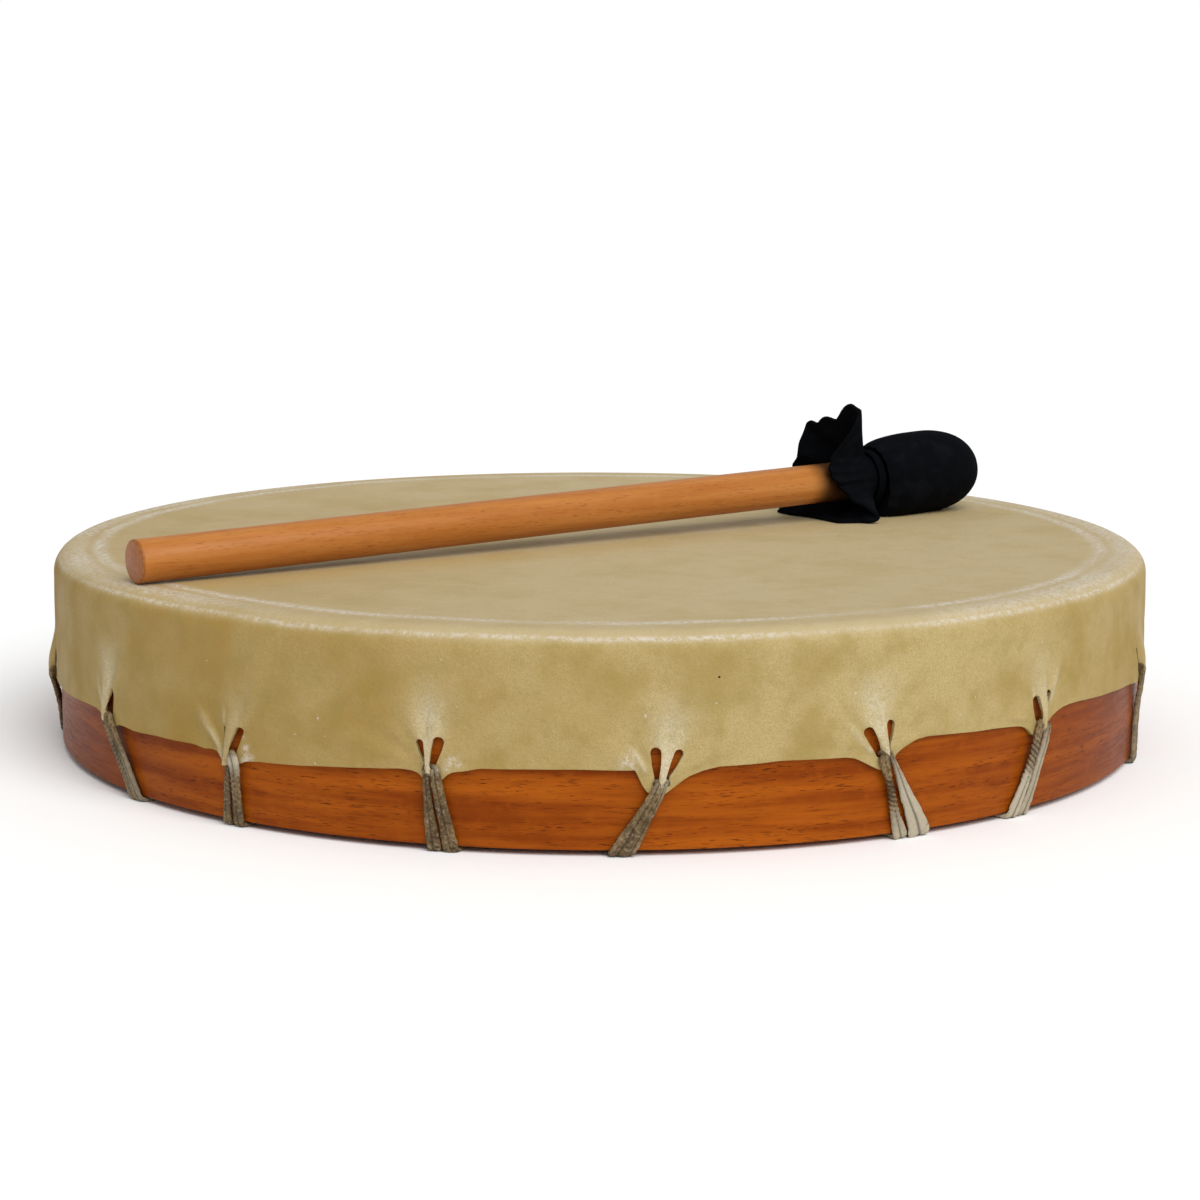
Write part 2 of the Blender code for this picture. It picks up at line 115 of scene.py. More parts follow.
floor_shape = bmesh.new()
bmesh.ops.create_grid(floor_shape, x_segments=1, y_segments=1, size=FLOOR_SIZE / 2)
floor_mesh = bpy.data.meshes.new("floor")
floor_shape.to_mesh(floor_mesh)
floor_shape.free()
floor_paint = bpy.data.materials.new("studio floor")
floor_paint.use_nodes = True
floor_paint.node_tree.nodes["Principled BSDF"].inputs["Base Color"].default_value = FLOOR_PALE
floor_paint.node_tree.nodes["Principled BSDF"].inputs["Roughness"].default_value = 0.9
floor_mesh.materials.append(floor_paint)
floor = bpy.data.objects.new("floor", floor_mesh)
bpy.context.scene.collection.objects.link(floor)


# The hoop. One board of warm orange-brown hardwood, steamed, bent round and varnished
# satin. Its top outer edge is rounded over so that the hide can bear on it.
HOOP_WALL = 0.0080
HOOP_EDGE_RADIUS = 0.0058
HOOP_CORNER = 0.0008
HOOP_STEPS = 288

hoop_low, hoop_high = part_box("hoop")
hoop_radius = hoop_high.x
hoop_bottom = hoop_low.z


def make_piece(bm, name, material, nodes, crease=40.0):
    """Makes a finished bmesh a piece that rides on the drum and stands for solid nodes."""
    mesh = bpy.data.meshes.new(name)
    bm.to_mesh(mesh)
    bm.free()
    mesh.shade_smooth()
    mesh.set_sharp_from_angle(angle=math.radians(crease))
    mesh.materials.append(material)
    piece = bpy.data.objects.new(name, mesh)
    bpy.context.scene.collection.objects.link(piece)
    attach(piece, "root")
    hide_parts(*nodes)
    return piece


def spin_round(bm, steps):
    """Turns an outline once round the drum's axis."""
    bmesh.ops.spin(bm, geom=bm.verts[:] + bm.edges[:], cent=(0, 0, 0), axis=(0, 0, 1),
                   angle=math.tau, steps=steps, use_merge=True)


def noise_over(tree, vector, scale, detail=3.0, roughness=0.5):
    """A soft random pattern, from 0 to 1, on a vector."""
    made = add_node(tree, "ShaderNodeTexNoise", {
        "Vector": vector, "Scale": scale, "Detail": detail, "Roughness": roughness})
    return made.outputs["Factor"] if "Factor" in made.outputs else made.outputs["Fac"]


def ramp(tree, value, low, high, start=0.0, end=1.0):
    """Turns the stretch of a value between low and high into start to end, with soft ends."""
    made = add_node(tree, "ShaderNodeMapRange", {
        "Value": value, "From Min": low, "From Max": high, "To Min": start, "To Max": end},
        interpolation_type='SMOOTHSTEP')
    return made.outputs["Result"]


def maths(tree, operation, first, second=0.0):
    return add_node(tree, "ShaderNodeMath", {0: first, 1: second},
                    operation=operation).outputs["Value"]


def distance_from(tree, value, level):
    return maths(tree, 'ABSOLUTE', maths(tree, 'SUBTRACT', value, level))


def layer_value(tree, layer):
    """What one of the mesh's own layers holds at each place."""
    return add_node(tree, "ShaderNodeAttribute", attribute_name=layer).outputs["Fac"]


def mixed(tree, share, first, second):
    """The colour that lies a share of the way from the first colour to the second."""
    made = add_node(tree, "ShaderNodeMix", {0: share, 6: first, 7: second}, data_type='RGBA')
    return made.outputs[2]


def stretched(tree, vector, factors):
    return add_node(tree, "ShaderNodeVectorMath", {0: vector, 1: factors},
                    operation='MULTIPLY').outputs["Vector"]


def new_material(name):
    """A material with its Principled shader, and the Object coordinates that it reads."""
    material = bpy.data.materials.new(name)
    material.use_nodes = True
    tree = material.node_tree
    coordinates = add_node(tree, "ShaderNodeTexCoord").outputs["Object"]
    return material, tree, tree.nodes["Principled BSDF"], coordinates


def dress(tree, shader, tone, roughness, height, strength, depth, shine):
    """Gives a material its colour, its roughness, its fine relief and its shine."""
    tree.links.new(tone, shader.inputs["Base Color"])
    tree.links.new(roughness, shader.inputs["Roughness"])
    bump = add_node(tree, "ShaderNodeBump", {
        "Strength": strength, "Distance": depth, "Height": height})
    tree.links.new(bump.outputs["Normal"], shader.inputs["Normal"])
    shader.inputs["Specular IOR Level"].default_value = shine


def new_group(name, inputs, outputs):
    """An empty shader node group, with its input and output nodes."""
    group = bpy.data.node_groups.new(name, 'ShaderNodeTree')
    for label, kind in inputs:
        group.interface.new_socket(label, in_out='INPUT', socket_type=kind)
    for label, kind in outputs:
        group.interface.new_socket(label, in_out='OUTPUT', socket_type=kind)
    return group, group.nodes.new("NodeGroupInput"), group.nodes.new("NodeGroupOutput")


def use_group(tree, group, feeds):
    return add_node(tree, "ShaderNodeGroup", feeds, node_tree=group)


def wood_grain_group():
    """Straight-grained hardwood on coordinates squeezed along the grain: bands, fibres and
    short dark pores, between three colours."""
    colour = 'NodeSocketColor'
    group, given, result = new_group("wood grain", (
        ("Grain Vector", 'NodeSocketVector'), ("Plain Vector", 'NodeSocketVector'),
        ("Light", colour), ("Middle", colour), ("Dark", colour)), (
        ("Color", colour), ("Roughness", 'NodeSocketFloat'), ("Height", 'NodeSocketFloat')))
    grain = given.outputs["Grain Vector"]
    bands = noise_over(group, grain, 14.0, 3.0, 0.55)
    fibres = noise_over(group, grain, 95.0, 5.0, 0.65)
    pores = ramp(group, noise_over(group, grain, 260.0, 2.0, 0.4), 0.60, 0.69)
    pore_patches = ramp(group, noise_over(group, grain, 30.0, 1.0), 0.36, 0.60)
    pores = maths(group, 'MULTIPLY', pores, pore_patches)
    figure = noise_over(group, given.outputs["Plain Vector"], 150.0, 3.0, 0.6)
    tone = mixed(group, ramp(group, bands, 0.30, 0.72),
                 given.outputs["Middle"], given.outputs["Light"])
    tone = mixed(group, ramp(group, fibres, 0.52, 0.78, 0.0, 0.55), tone, given.outputs["Dark"])
    tone = mixed(group, ramp(group, figure, 0.45, 0.75, 0.0, 0.30), tone, given.outputs["Light"])
    tone = mixed(group, maths(group, 'MULTIPLY', pores, 0.85), tone, given.outputs["Dark"])
    group.links.new(tone, result.inputs["Color"])
    group.links.new(ramp(group, fibres, 0.3, 0.7, 0.30, 0.42), result.inputs["Roughness"])
    height = maths(group, 'SUBTRACT', maths(group, 'MULTIPLY', fibres, 0.35), pores)
    group.links.new(height, result.inputs["Height"])
    return group


wood_grain = wood_grain_group()

HOOP_LIGHT = (0.370, 0.088, 0.0055, 1.0)
HOOP_MIDDLE = (0.205, 0.037, 0.0020, 1.0)
HOOP_DARK = (0.070, 0.011, 0.0015, 1.0)
HOOP_SIDE_SHADE = 0.36
HOOP_GRAIN_SQUEEZE = (1.0, 1.0, 14.0)


def make_varnished_wood():
    material, tree, shader, coordinates = new_material("varnished bent wood")
    grain = use_group(tree, wood_grain, {
        "Grain Vector": stretched(tree, coordinates, HOOP_GRAIN_SQUEEZE),
        "Plain Vector": coordinates,
        "Light": HOOP_LIGHT, "Middle": HOOP_MIDDLE, "Dark": HOOP_DARK})
    # Painted shade: the wood is painted darker towards the drum's left and right sides, where the
    # light falls off across the hoop.
    parts = add_node(tree, "ShaderNodeSeparateXYZ", {0: coordinates})
    sideways = maths(tree, 'ABSOLUTE', parts.outputs["X"])
    painted_side_shade = ramp(tree, sideways, 0.10, 0.20, 0.0, HOOP_SIDE_SHADE)
    tone = mixed(tree, painted_side_shade, grain.outputs["Color"], HOOP_DARK)
    dress(tree, shader, tone, grain.outputs["Roughness"], grain.outputs["Height"],
          strength=0.25, depth=0.0002, shine=0.04)
    shader.inputs["Coat Weight"].default_value = 0.012
    shader.inputs["Coat Roughness"].default_value = 0.22
    return material


hoop_shape = bmesh.new()
bmesh.ops.create_grid(hoop_shape, x_segments=1, y_segments=1, size=0.5)
hoop_height = hoop_high.z - hoop_low.z
hoop_section_place = (
    Matrix.Translation((hoop_radius - HOOP_WALL / 2, 0.0, hoop_bottom + hoop_height / 2))
    @ Matrix.Rotation(math.radians(90.0), 4, 'X')
    @ Matrix.Diagonal((HOOP_WALL, hoop_height, 1.0, 1.0)))
bmesh.ops.transform(hoop_shape, matrix=hoop_section_place, verts=hoop_shape.verts)
bearing_edge = max(hoop_shape.verts, key=lambda vertex: vertex.co.x + vertex.co.z)
small_corners = [vertex for vertex in hoop_shape.verts if vertex != bearing_edge]
bmesh.ops.bevel(hoop_shape, geom=[bearing_edge], offset=HOOP_EDGE_RADIUS, segments=8,
                profile=0.5, affect='VERTICES', material=-1)
bmesh.ops.bevel(hoop_shape, geom=small_corners, offset=HOOP_CORNER, segments=2,
                profile=0.5, affect='VERTICES', material=-1)
bmesh.ops.delete(hoop_shape, geom=hoop_shape.faces[:], context='FACES_ONLY')
spin_round(hoop_shape, HOOP_STEPS)
bmesh.ops.recalc_face_normals(hoop_shape, faces=hoop_shape.faces)
make_piece(hoop_shape, "bent_wood_hoop", make_varnished_wood(), ["hoop"])


# The drumhead. One goat or calf rawhide, soaked, pulled flat over the hoop and down its
# side, and laced tight through pairs of slots cut near its hand-cut edge. It dried stiff,
# with pale stretch marks over the slots and a chalky worn line where it turns over the rim.
HIDE_RADIUS = 0.2000
HIDE_THICKNESS = 0.0013
SHOULDER_RADIUS = 0.0075
hide_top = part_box("drumhead")[1].z
shoulder_foot = hide_top - SHOULDER_RADIUS

Lacing = namedtuple("Lacing", "azimuth crown bulge stretch slots edge ridges strands")

# The lacings that show, from the left round the front to the right. Places are an azimuth
# and a height. Crown is the middle of the thong where it passes behind the strip of hide,
# bulge how far the strip stands out there, and stretch how pale the hide is drawn. Slots
# have their two ends and their widths there, the edge its hand-cut corners, and ridges the
# folds that run up from the slots. Each strand has its places from the top to the ground,
# each with the thong's width, how pale it is there and how much it is twisted.
LACINGS_SHOWN = (
    Lacing(-80.0, (-80.0, 0.0276), 0.0029, 0.4,
           (((-81.6, 0.0365), (-80.7, 0.0290), 0.0024, 0.0010),
            ((-78.4, 0.0368), (-79.3, 0.0290), 0.0024, 0.0010)),
           ((-83.6, 0.0262), (-81.8, 0.0258), (-80.9, 0.0238), (-79.1, 0.0238),
            (-78.2, 0.0252), (-75.5, 0.0253), (-69.0, 0.0258)),
           (),
           (((-80.5, 0.0266, 0.0040, 0.0, 0.0), (-82.4, 0.0200, 0.0036, 0.1, 0.3),
             (-85.0, 0.0110, 0.0034, 0.1, 0.3), (-87.2, 0.0030, 0.0034, 0.1, 0.0)),
            ((-79.3, 0.0266, 0.0040, 0.0, 0.0), (-81.0, 0.0200, 0.0036, 0.1, 0.0),
             (-83.4, 0.0110, 0.0034, 0.1, 0.0), (-85.4, 0.0030, 0.0034, 0.1, 0.0)))),
    Lacing(-55.2, (-56.0, 0.0266), 0.0022, 0.9,
           (((-57.05, 0.0358), (-56.85, 0.0318), 0.0006, 0.0004),
            ((-54.6, 0.0365), (-55.15, 0.0286), 0.0016, 0.0028)),
           ((-63.0, 0.0271), (-60.9, 0.0273), (-58.7, 0.0272), (-57.6, 0.0264),
            (-57.0, 0.0247), (-56.4, 0.0232), (-54.4, 0.0232), (-53.8, 0.0244),
            (-52.5, 0.0246), (-50.8, 0.0241), (-47.2, 0.0246)),
           ((((-58.2, 0.0390), (-57.7, 0.0345), (-57.0, 0.0300), (-56.7, 0.0262)),
             0.0008, 0.0012),
            (((-56.1, 0.0420), (-56.2, 0.0342), (-56.0, 0.0308), (-56.3, 0.0275)),
             0.0008, 0.0010)),
           (((-55.9, 0.0264, 0.0030, 0.1, 0.0), (-55.75, 0.0240, 0.0036, 0.2, 0.4),
             (-54.5, 0.0180, 0.0036, 0.25, 0.9), (-53.0, 0.0100, 0.0038, 0.30, 1.0),
             (-51.7, 0.0030, 0.0038, 0.30, 0.8)),
            ((-55.0, 0.0266, 0.0028, 0.0, 0.0), (-54.6, 0.0240, 0.0026, 0.10, 0.0),
             (-53.4, 0.0180, 0.0026, 0.25, 0.0), (-51.9, 0.0100, 0.0028, 0.40, 0.0),
             (-50.65, 0.0030, 0.0030, 0.40, 0.0)))),
    Lacing(-36.0, (-36.55, 0.0242), 0.0020, 0.35,
           (((-36.87, 0.0332), (-36.82, 0.0282), 0.0014, 0.0008),
            ((-34.92, 0.0334), (-35.85, 0.0254), 0.0028, 0.0020)),
           ((-41.1, 0.0251), (-39.6, 0.0243), (-38.85, 0.0247), (-38.1, 0.0244),
            (-37.6, 0.0234), (-37.35, 0.0221), (-37.3, 0.0204), (-36.5, 0.0203),
            (-36.3, 0.0212), (-34.95, 0.0214), (-34.9, 0.0221), (-34.1, 0.0226),
            (-32.85, 0.0231), (-31.3, 0.0232), (-28.2, 0.0237)),
           ((((-40.2, 0.0375), (-39.4, 0.0330), (-38.4, 0.0295), (-37.7, 0.0262),
              (-37.4, 0.0232)), 0.0009, 0.0011),
            (((-37.1, 0.0400), (-37.0, 0.0345)), 0.0004, 0.0009),
            (((-36.35, 0.0300), (-36.7, 0.0250), (-36.95, 0.0203)), 0.0018, 0.0013)),
           (((-36.75, 0.0238, 0.0022, 0.2, 0.0), (-36.83, 0.0200, 0.0018, 0.25, 0.2),
             (-36.92, 0.0160, 0.0020, 0.2, 0.6), (-36.98, 0.0110, 0.0026, 0.2, 0.6),
             (-37.0, 0.0030, 0.0034, 0.2, 0.3)),
            ((-35.9, 0.0244, 0.0030, 0.3, 0.0), (-35.75, 0.0225, 0.0042, 0.8, 0.0),
             (-35.62, 0.0200, 0.0040, 0.55, 0.0), (-35.62, 0.0160, 0.0038, 0.2, 0.5),
             (-35.62, 0.0090, 0.0038, 0.2, 0.5), (-35.58, 0.0030, 0.0042, 0.2, 0.3)))),
    Lacing(-15.0, (-15.35, 0.0271), 0.0020, 0.9,
           (((-16.25, 0.0360), (-15.68, 0.0284), 0.0028, 0.0010),
            ((-14.30, 0.0370), (-14.90, 0.0286), 0.0036, 0.0018)),
           ((-23.0, 0.0249), (-18.1, 0.0261), (-17.0, 0.0258), (-16.5, 0.0253),
            (-16.1, 0.0244), (-15.9, 0.0234), (-14.0, 0.0234), (-13.9, 0.0246),
            (-13.5, 0.0254), (-13.1, 0.0261), (-12.0, 0.0265), (-10.7, 0.0275),
            (-5.3, 0.0279)),
           (),
           (((-15.5, 0.0262, 0.0022, 0.1, 0.0), (-15.5, 0.0235, 0.0022, 0.05, 0.0),
             (-15.45, 0.0180, 0.0026, 0.0, 0.1), (-15.3, 0.0110, 0.0036, 0.05, 0.0),
             (-15.05, 0.0030, 0.0046, 0.1, 0.0)),
            ((-14.7, 0.0266, 0.0030, 0.4, 0.0), (-14.6, 0.0235, 0.0036, 0.1, 0.0),
             (-14.35, 0.0180, 0.0038, 0.05, 0.0), (-13.95, 0.0110, 0.0042, 0.05, 0.0),
             (-13.5, 0.0030, 0.0050, 0.05, 0.0)))),
    Lacing(5.6, (5.5, 0.0240), 0.0020, 1.0,
           (((4.95, 0.0350), (5.05, 0.0252), 0.0034, 0.0012),
            ((7.20, 0.0342), (6.02, 0.0256), 0.0031, 0.0012)),
           ((0.0, 0.0279), (3.2, 0.0280), (3.32, 0.0277), (3.4, 0.0256), (3.8, 0.0230),
            (4.25, 0.0207), (4.9, 0.0196), (5.6, 0.0196), (5.95, 0.0204), (6.9, 0.0229),
            (7.5, 0.0246), (8.1, 0.0258), (9.3, 0.0273), (10.6, 0.0283), (16.2, 0.0291)),
           ((((2.4, 0.0352), (3.1, 0.0335), (3.7, 0.0300), (3.95, 0.0280)), 0.0008, 0.0009),),
           (((5.2, 0.0236, 0.0024, 0.3, 0.0), (4.6, 0.0190, 0.0031, 0.15, 0.0),
             (3.5, 0.0122, 0.0041, 0.1, 0.0), (2.6, 0.0065, 0.0054, 0.15, 0.0),
             (1.9, 0.0025, 0.0056, 0.15, 0.0)),
            ((5.75, 0.0238, 0.0020, 0.5, 0.0), (5.3, 0.0190, 0.0018, 0.2, 0.0),
             (4.35, 0.0122, 0.0019, 0.1, 0.0), (3.55, 0.0065, 0.0026, 0.2, 0.0),
             (2.95, 0.0025, 0.0028, 0.25, 0.0)))),
    Lacing(26.1, (26.75, 0.0292), 0.0020, 1.0,
           (((24.75, 0.0377), (26.1, 0.0285), 0.0034, 0.0018),
            ((27.25, 0.0395), (27.08, 0.0312), 0.0036, 0.0014)),
           ((22.75, 0.0287), (23.6, 0.0281), (24.4, 0.0268), (25.4, 0.0250), (26.1, 0.0238),
            (26.6, 0.0234), (27.7, 0.0262), (27.9, 0.0282), (28.5, 0.0295), (29.25, 0.0310),
            (29.9, 0.0322), (30.6, 0.0325), (31.3, 0.0328), (32.5, 0.0325), (35.0, 0.0321)),
           ((((22.9, 0.0395), (23.9, 0.0350), (25.3, 0.0300)), 0.0006, 0.0010),),
           (((26.4, 0.0284, 0.0036, 0.0, 0.0), (26.55, 0.0255, 0.0034, 0.05, 0.2),
             (27.1, 0.0200, 0.0025, 0.1, 0.8), (27.55, 0.0140, 0.0028, 0.15, 1.0),
             (27.9, 0.0090, 0.0035, 0.45, 0.5), (28.5, 0.0028, 0.0050, 0.65, 0.0)),
            ((27.1, 0.0286, 0.0016, 0.3, 0.0), (27.8, 0.0238, 0.0020, 0.5, 0.0),
             (28.95, 0.0152, 0.0044, 0.8, 0.0), (30.1, 0.0074, 0.0068, 0.9, 0.0),
             (30.65, 0.0025, 0.0080, 0.9, 0.0)))),
    Lacing(46.4, (46.6, 0.0304), 0.0020, 0.6,
           (((45.4, 0.0398), (45.85, 0.0326), 0.0029, 0.0024),
            ((47.45, 0.0409), (47.15, 0.0350), 0.0025, 0.0012)),
           ((39.2, 0.0317), (42.9, 0.0308), (43.6, 0.0304), (44.1, 0.0298), (44.75, 0.0283),
            (45.05, 0.0270), (45.6, 0.0260), (47.2, 0.0280), (47.6, 0.0298), (48.3, 0.0315),
            (49.25, 0.0328), (50.15, 0.0336), (51.2, 0.0340), (52.9, 0.0341), (59.9, 0.0325)),
           ((((45.0, 0.0430), (45.2, 0.0400)), 0.0004, 0.0008),
            (((46.9, 0.0480), (46.7, 0.0420)), 0.0006, 0.0010),
            (((48.9, 0.0480), (48.4, 0.0430), (47.9, 0.0380)), 0.0007, 0.0016)),
           (((46.0, 0.0300, 0.0034, 0.0, 0.0), (45.7, 0.0278, 0.0034, 0.15, 0.4),
             (45.35, 0.0232, 0.0034, 0.3, 1.0), (44.8, 0.0176, 0.0034, 0.35, 1.0),
             (44.35, 0.0133, 0.0038, 0.7, 0.4), (43.7, 0.0084, 0.0040, 0.9, 0.0),
             (42.8, 0.0025, 0.0050, 0.85, 0.0)),
            ((47.1, 0.0292, 0.0024, 0.3, 0.0), (46.9, 0.0260, 0.0028, 0.45, 0.0),
             (46.55, 0.0215, 0.0030, 0.55, 0.0), (46.1, 0.0176, 0.0032, 0.6, 0.0),
             (45.2, 0.0084, 0.0036, 0.6, 0.0), (44.35, 0.0025, 0.0046, 0.6, 0.0)))),
    Lacing(72.0, (72.9, 0.0345), 0.0022, 0.4,
           (((70.4, 0.0420), (71.9, 0.0363), 0.0016, 0.0010),
            ((74.6, 0.0420), (73.8, 0.0360), 0.0020, 0.0010)),
           ((66.0, 0.0314), (68.9, 0.0303), (70.2, 0.0300), (71.6, 0.0290), (74.2, 0.0290),
            (75.5, 0.0300), (79.0, 0.0296)),
           ((((72.5, 0.0470), (72.7, 0.0420)), 0.0005, 0.0010),),
           (((72.5, 0.0340, 0.0030, 0.1, 0.0), (72.9, 0.0290, 0.0030, 0.2, 0.4),
             (72.4, 0.0170, 0.0030, 0.3, 0.4), (71.4, 0.0030, 0.0034, 0.3, 0.0)),
            ((73.4, 0.0340, 0.0030, 0.1, 0.0), (74.0, 0.0290, 0.0028, 0.2, 0.0),
             (73.6, 0.0170, 0.0028, 0.3, 0.0), (72.6, 0.0030, 0.0030, 0.3, 0.0)))),
)


BACK_LACINGS = 8
BACK_CROWN = 0.0272
BACK_CROWN_SWING = 0.0022
BACK_LEAN_SWING = 2.4


def back_lacings():
    """The lacings round the back, which are spaced evenly and lean to either side. Their
    slots, edge and folds are given from the crown, in degrees aside and metres up."""
    made = []
    start = LACINGS_SHOWN[-1].azimuth
    whole_arc = 360.0 + LACINGS_SHOWN[0].azimuth - start
    for index in range(BACK_LACINGS):
        azimuth = start + whole_arc * (index + 1) / (BACK_LACINGS + 1)
        crown = BACK_CROWN + BACK_CROWN_SWING * math.sin(0.6 + 2.1 * index)
        ground = azimuth + BACK_LEAN_SWING * math.sin(1.0 + 1.7 * index)
        twist = (index % 3) / 2

        def strand(side, pale, twisted, widening):
            top = azimuth + 0.45 * side
            foot = ground + 0.7 * side
            return tuple((top + (foot - top) * share, crown - 0.0006 - (crown - 0.0036) * share,
                          0.0028 + widening * share, pale + 0.2 * share,
                          twisted * math.sin(math.pi * share))
                         for share in (0.0, 0.15, 0.4, 0.7, 1.0))

        made.append(Lacing(
            azimuth, (azimuth, crown), 0.0020, 0.7,
            (((azimuth - 1.1, crown + 0.0095), (azimuth - 0.45, crown + 0.0014), 0.0028, 0.0010),
             ((azimuth + 1.1, crown + 0.0098), (azimuth + 0.45, crown + 0.0014), 0.0030, 0.0010)),
            ((azimuth - 5.0, crown + 0.0012), (azimuth - 2.2, crown + 0.0006),
             (azimuth - 1.3, crown - 0.0014), (azimuth - 0.9, crown - 0.0036),
             (azimuth + 0.9, crown - 0.0036), (azimuth + 1.4, crown - 0.0012),
             (azimuth + 2.6, crown + 0.0004), (azimuth + 5.4, crown + 0.0006)),
            ((((azimuth - 2.6, crown + 0.0150), (azimuth - 1.5, crown + 0.0050)), 0.0006, 0.0011),
             (((azimuth + 2.2, crown + 0.0170), (azimuth + 1.5, crown + 0.0060)), 0.0005, 0.0012)),
            (strand(-1, 0.1, twist, 0.0010), strand(1, 0.25, 0.0, 0.0014))))
    return made


lacings = list(LACINGS_SHOWN) + back_lacings()


def at(azimuth, radius, height):
    """A point on a circle round the drum's axis."""
    turn = math.radians(azimuth)
    return Vector((radius * math.sin(turn), -radius * math.cos(turn), height))


def azimuth_of(point):
    return math.degrees(math.atan2(point.x, -point.y))


def apart(azimuth, other):
    """The signed turn from one azimuth to another, between half a turn each way."""
    return (azimuth - other + 180.0) % 360.0 - 180.0


def arc_length(degrees):
    return math.radians(degrees) * HIDE_RADIUS


def soft_step(value, low, high):
    share = min(1.0, max(0.0, (value - low) / (high - low)))
    return share * share * (3.0 - 2.0 * share)


def blend(first, second, share):
    return first + (second - first) * share


def unrolled(azimuth, height, origin):
    """A place on the hide's side, as a flat drawing that is unrolled round an azimuth."""
    return Vector((arc_length(apart(azimuth, origin)), height))


def nearest_share(here, start, end):
    """How far along a straight line its nearest point to a place lies, from 0 to 1."""
    return min(1.0, max(0.0, (here - start).dot(end - start) / (end - start).length_squared))


edge_corners = sorted((corner[0] % 360.0, corner[1]) for lacing in lacings
                      for corner in lacing.edge)
edge_corners = ([(edge_corners[-1][0] - 360.0, edge_corners[-1][1])] + edge_corners
                + [(edge_corners[0][0] + 360.0, edge_corners[0][1])])


def cut_height(azimuth):
    here = azimuth % 360.0
    for before, after in zip(edge_corners, edge_corners[1:]):
        if here <= after[0]:
            return blend(before[1], after[1], (here - before[0]) / (after[0] - before[0]))


EDGE_ROUNDING = (-0.12, 0.0, 0.12)
EDGE_WAVE = 0.00030


def edge_height(azimuth):
    """The height of the hide's lower edge, with its corners slightly rounded."""
    wave = EDGE_WAVE * noise.noise(at(azimuth, HIDE_RADIUS, 0.0) * 70.0)
    rounded = sum(cut_height(azimuth + aside) for aside in EDGE_ROUNDING) / len(EDGE_ROUNDING)
    return rounded + wave


STRIP_HALF = 0.0013
FOLD_DEPTH = 0.00055
SLOT_LEAD = 0.0017


def strip_place(lacing, azimuth, height):
    """The rise above the crown, and the way across from the middle of the strip."""
    left, right = lacing.slots
    rise = height - lacing.crown[1]
    tops = (left[0][1] + right[0][1]) / 2 - lacing.crown[1]
    middle = blend(lacing.crown[0], (left[0][0] + right[0][0]) / 2,
                   min(1.6, max(0.0, rise / tops)))
    return rise, arc_length(apart(azimuth, middle))


def ridge_share(ridge, lacing, azimuth, height):
    """How near a place is to a fold's line, from 0 to 1, fading towards its upper end."""
    line, _, width = ridge
    here = unrolled(azimuth, height, lacing.azimuth)
    best = 0.0
    for index in range(len(line) - 1):
        start = unrolled(*line[index], lacing.azimuth)
        end = unrolled(*line[index + 1], lacing.azimuth)
        share = nearest_share(here, start, end)
        distance = (here - start.lerp(end, share)).length
        along = (index + share) / (len(line) - 1)
        best = max(best, math.exp(-(distance / width) ** 2) * soft_step(along, -0.2, 0.5))
    return best


def relief(lacing, azimuth, height):
    """How far the hide's side stands out: over the thong, and in folds above the slots."""
    rise, across = strip_place(lacing, azimuth, height)
    lift = soft_step(rise, -0.0042, -0.0012) * (1.0 - soft_step(rise, 0.0015, 0.0170))
    half = STRIP_HALF + 0.25 * max(0.0, rise)
    bulge = lacing.bulge * lift * math.exp(-(across / half) ** 4)
    for ridge in lacing.ridges:
        bulge = max(bulge, ridge[1] * ridge_share(ridge, lacing, azimuth, height))

    away = math.hypot(rise, across)
    fan = math.atan2(across, max(rise, 1e-5))
    folds = noise.noise(Vector((fan * 3.4, 10.0 * lacing.azimuth, away * 12.0)))
    fade = soft_step(away, 0.005, 0.013) * math.exp(-away / 0.022)
    fold = FOLD_DEPTH * (0.6 + 0.6 * lacing.stretch) * folds * 3.0 * fade
    spot = at(azimuth, HIDE_RADIUS, height)
    broad = 0.00030 * noise.noise(spot * 26.0) + 0.00012 * noise.noise(spot * 90.0)
    return max(-0.00022, bulge + fold + broad)


def slot_lines(lacing):
    """Each slot as the line down its middle, with the half width at each of its points. Its
    lower end lies out of sight under the thong, beside the strip."""
    for side, (top, bottom, top_width, bottom_width) in zip((-1, 1), lacing.slots):
        foot = (lacing.crown[0] + side * math.degrees(SLOT_LEAD / HIDE_RADIUS),
                lacing.crown[1] - 0.0010)
        head = unrolled(*top, lacing.azimuth)
        neck = unrolled(*bottom, lacing.azimuth)
        head = head + (neck - head).normalized() * top_width / 2
        yield ((head, top_width / 2),
               (head.lerp(neck, 0.45), blend(top_width, bottom_width, 0.3) / 2),
               (neck, bottom_width / 2), (unrolled(*foot, lacing.azimuth), 0.0005))


def slot_distance(line, here):
    """The signed distance to a slot's outline, and the way out from it."""
    best = (1.0, Vector((0.0, 1.0)))
    for (start, start_half), (end, end_half) in zip(line, line[1:]):
        share = nearest_share(here, start, end)
        away = here - start.lerp(end, share)
        distance = away.length - blend(start_half, end_half, share)
        if distance < best[0]:
            best = (distance, away.normalized())
    return best


FAN_COLUMNS = 50
SIDE_ROWS = 42
SHOULDER_ROWS = 8
FINE_SPREAD = 0.0125
FINE_RISE = 0.60
HEAD_RINGS = (0.1890, 0.1720, 0.1000)
HEAD_MIDDLE = 0.0150
EDGE_LEVEL = 0.0280
SLOTS_BELOW = 0.0500
SLOTS_WITHIN = 4.5


def crowd(share, start):
    """Spreads even steps so that those near the start lie close together."""
    return start * share + (1.0 - start) * share ** 3


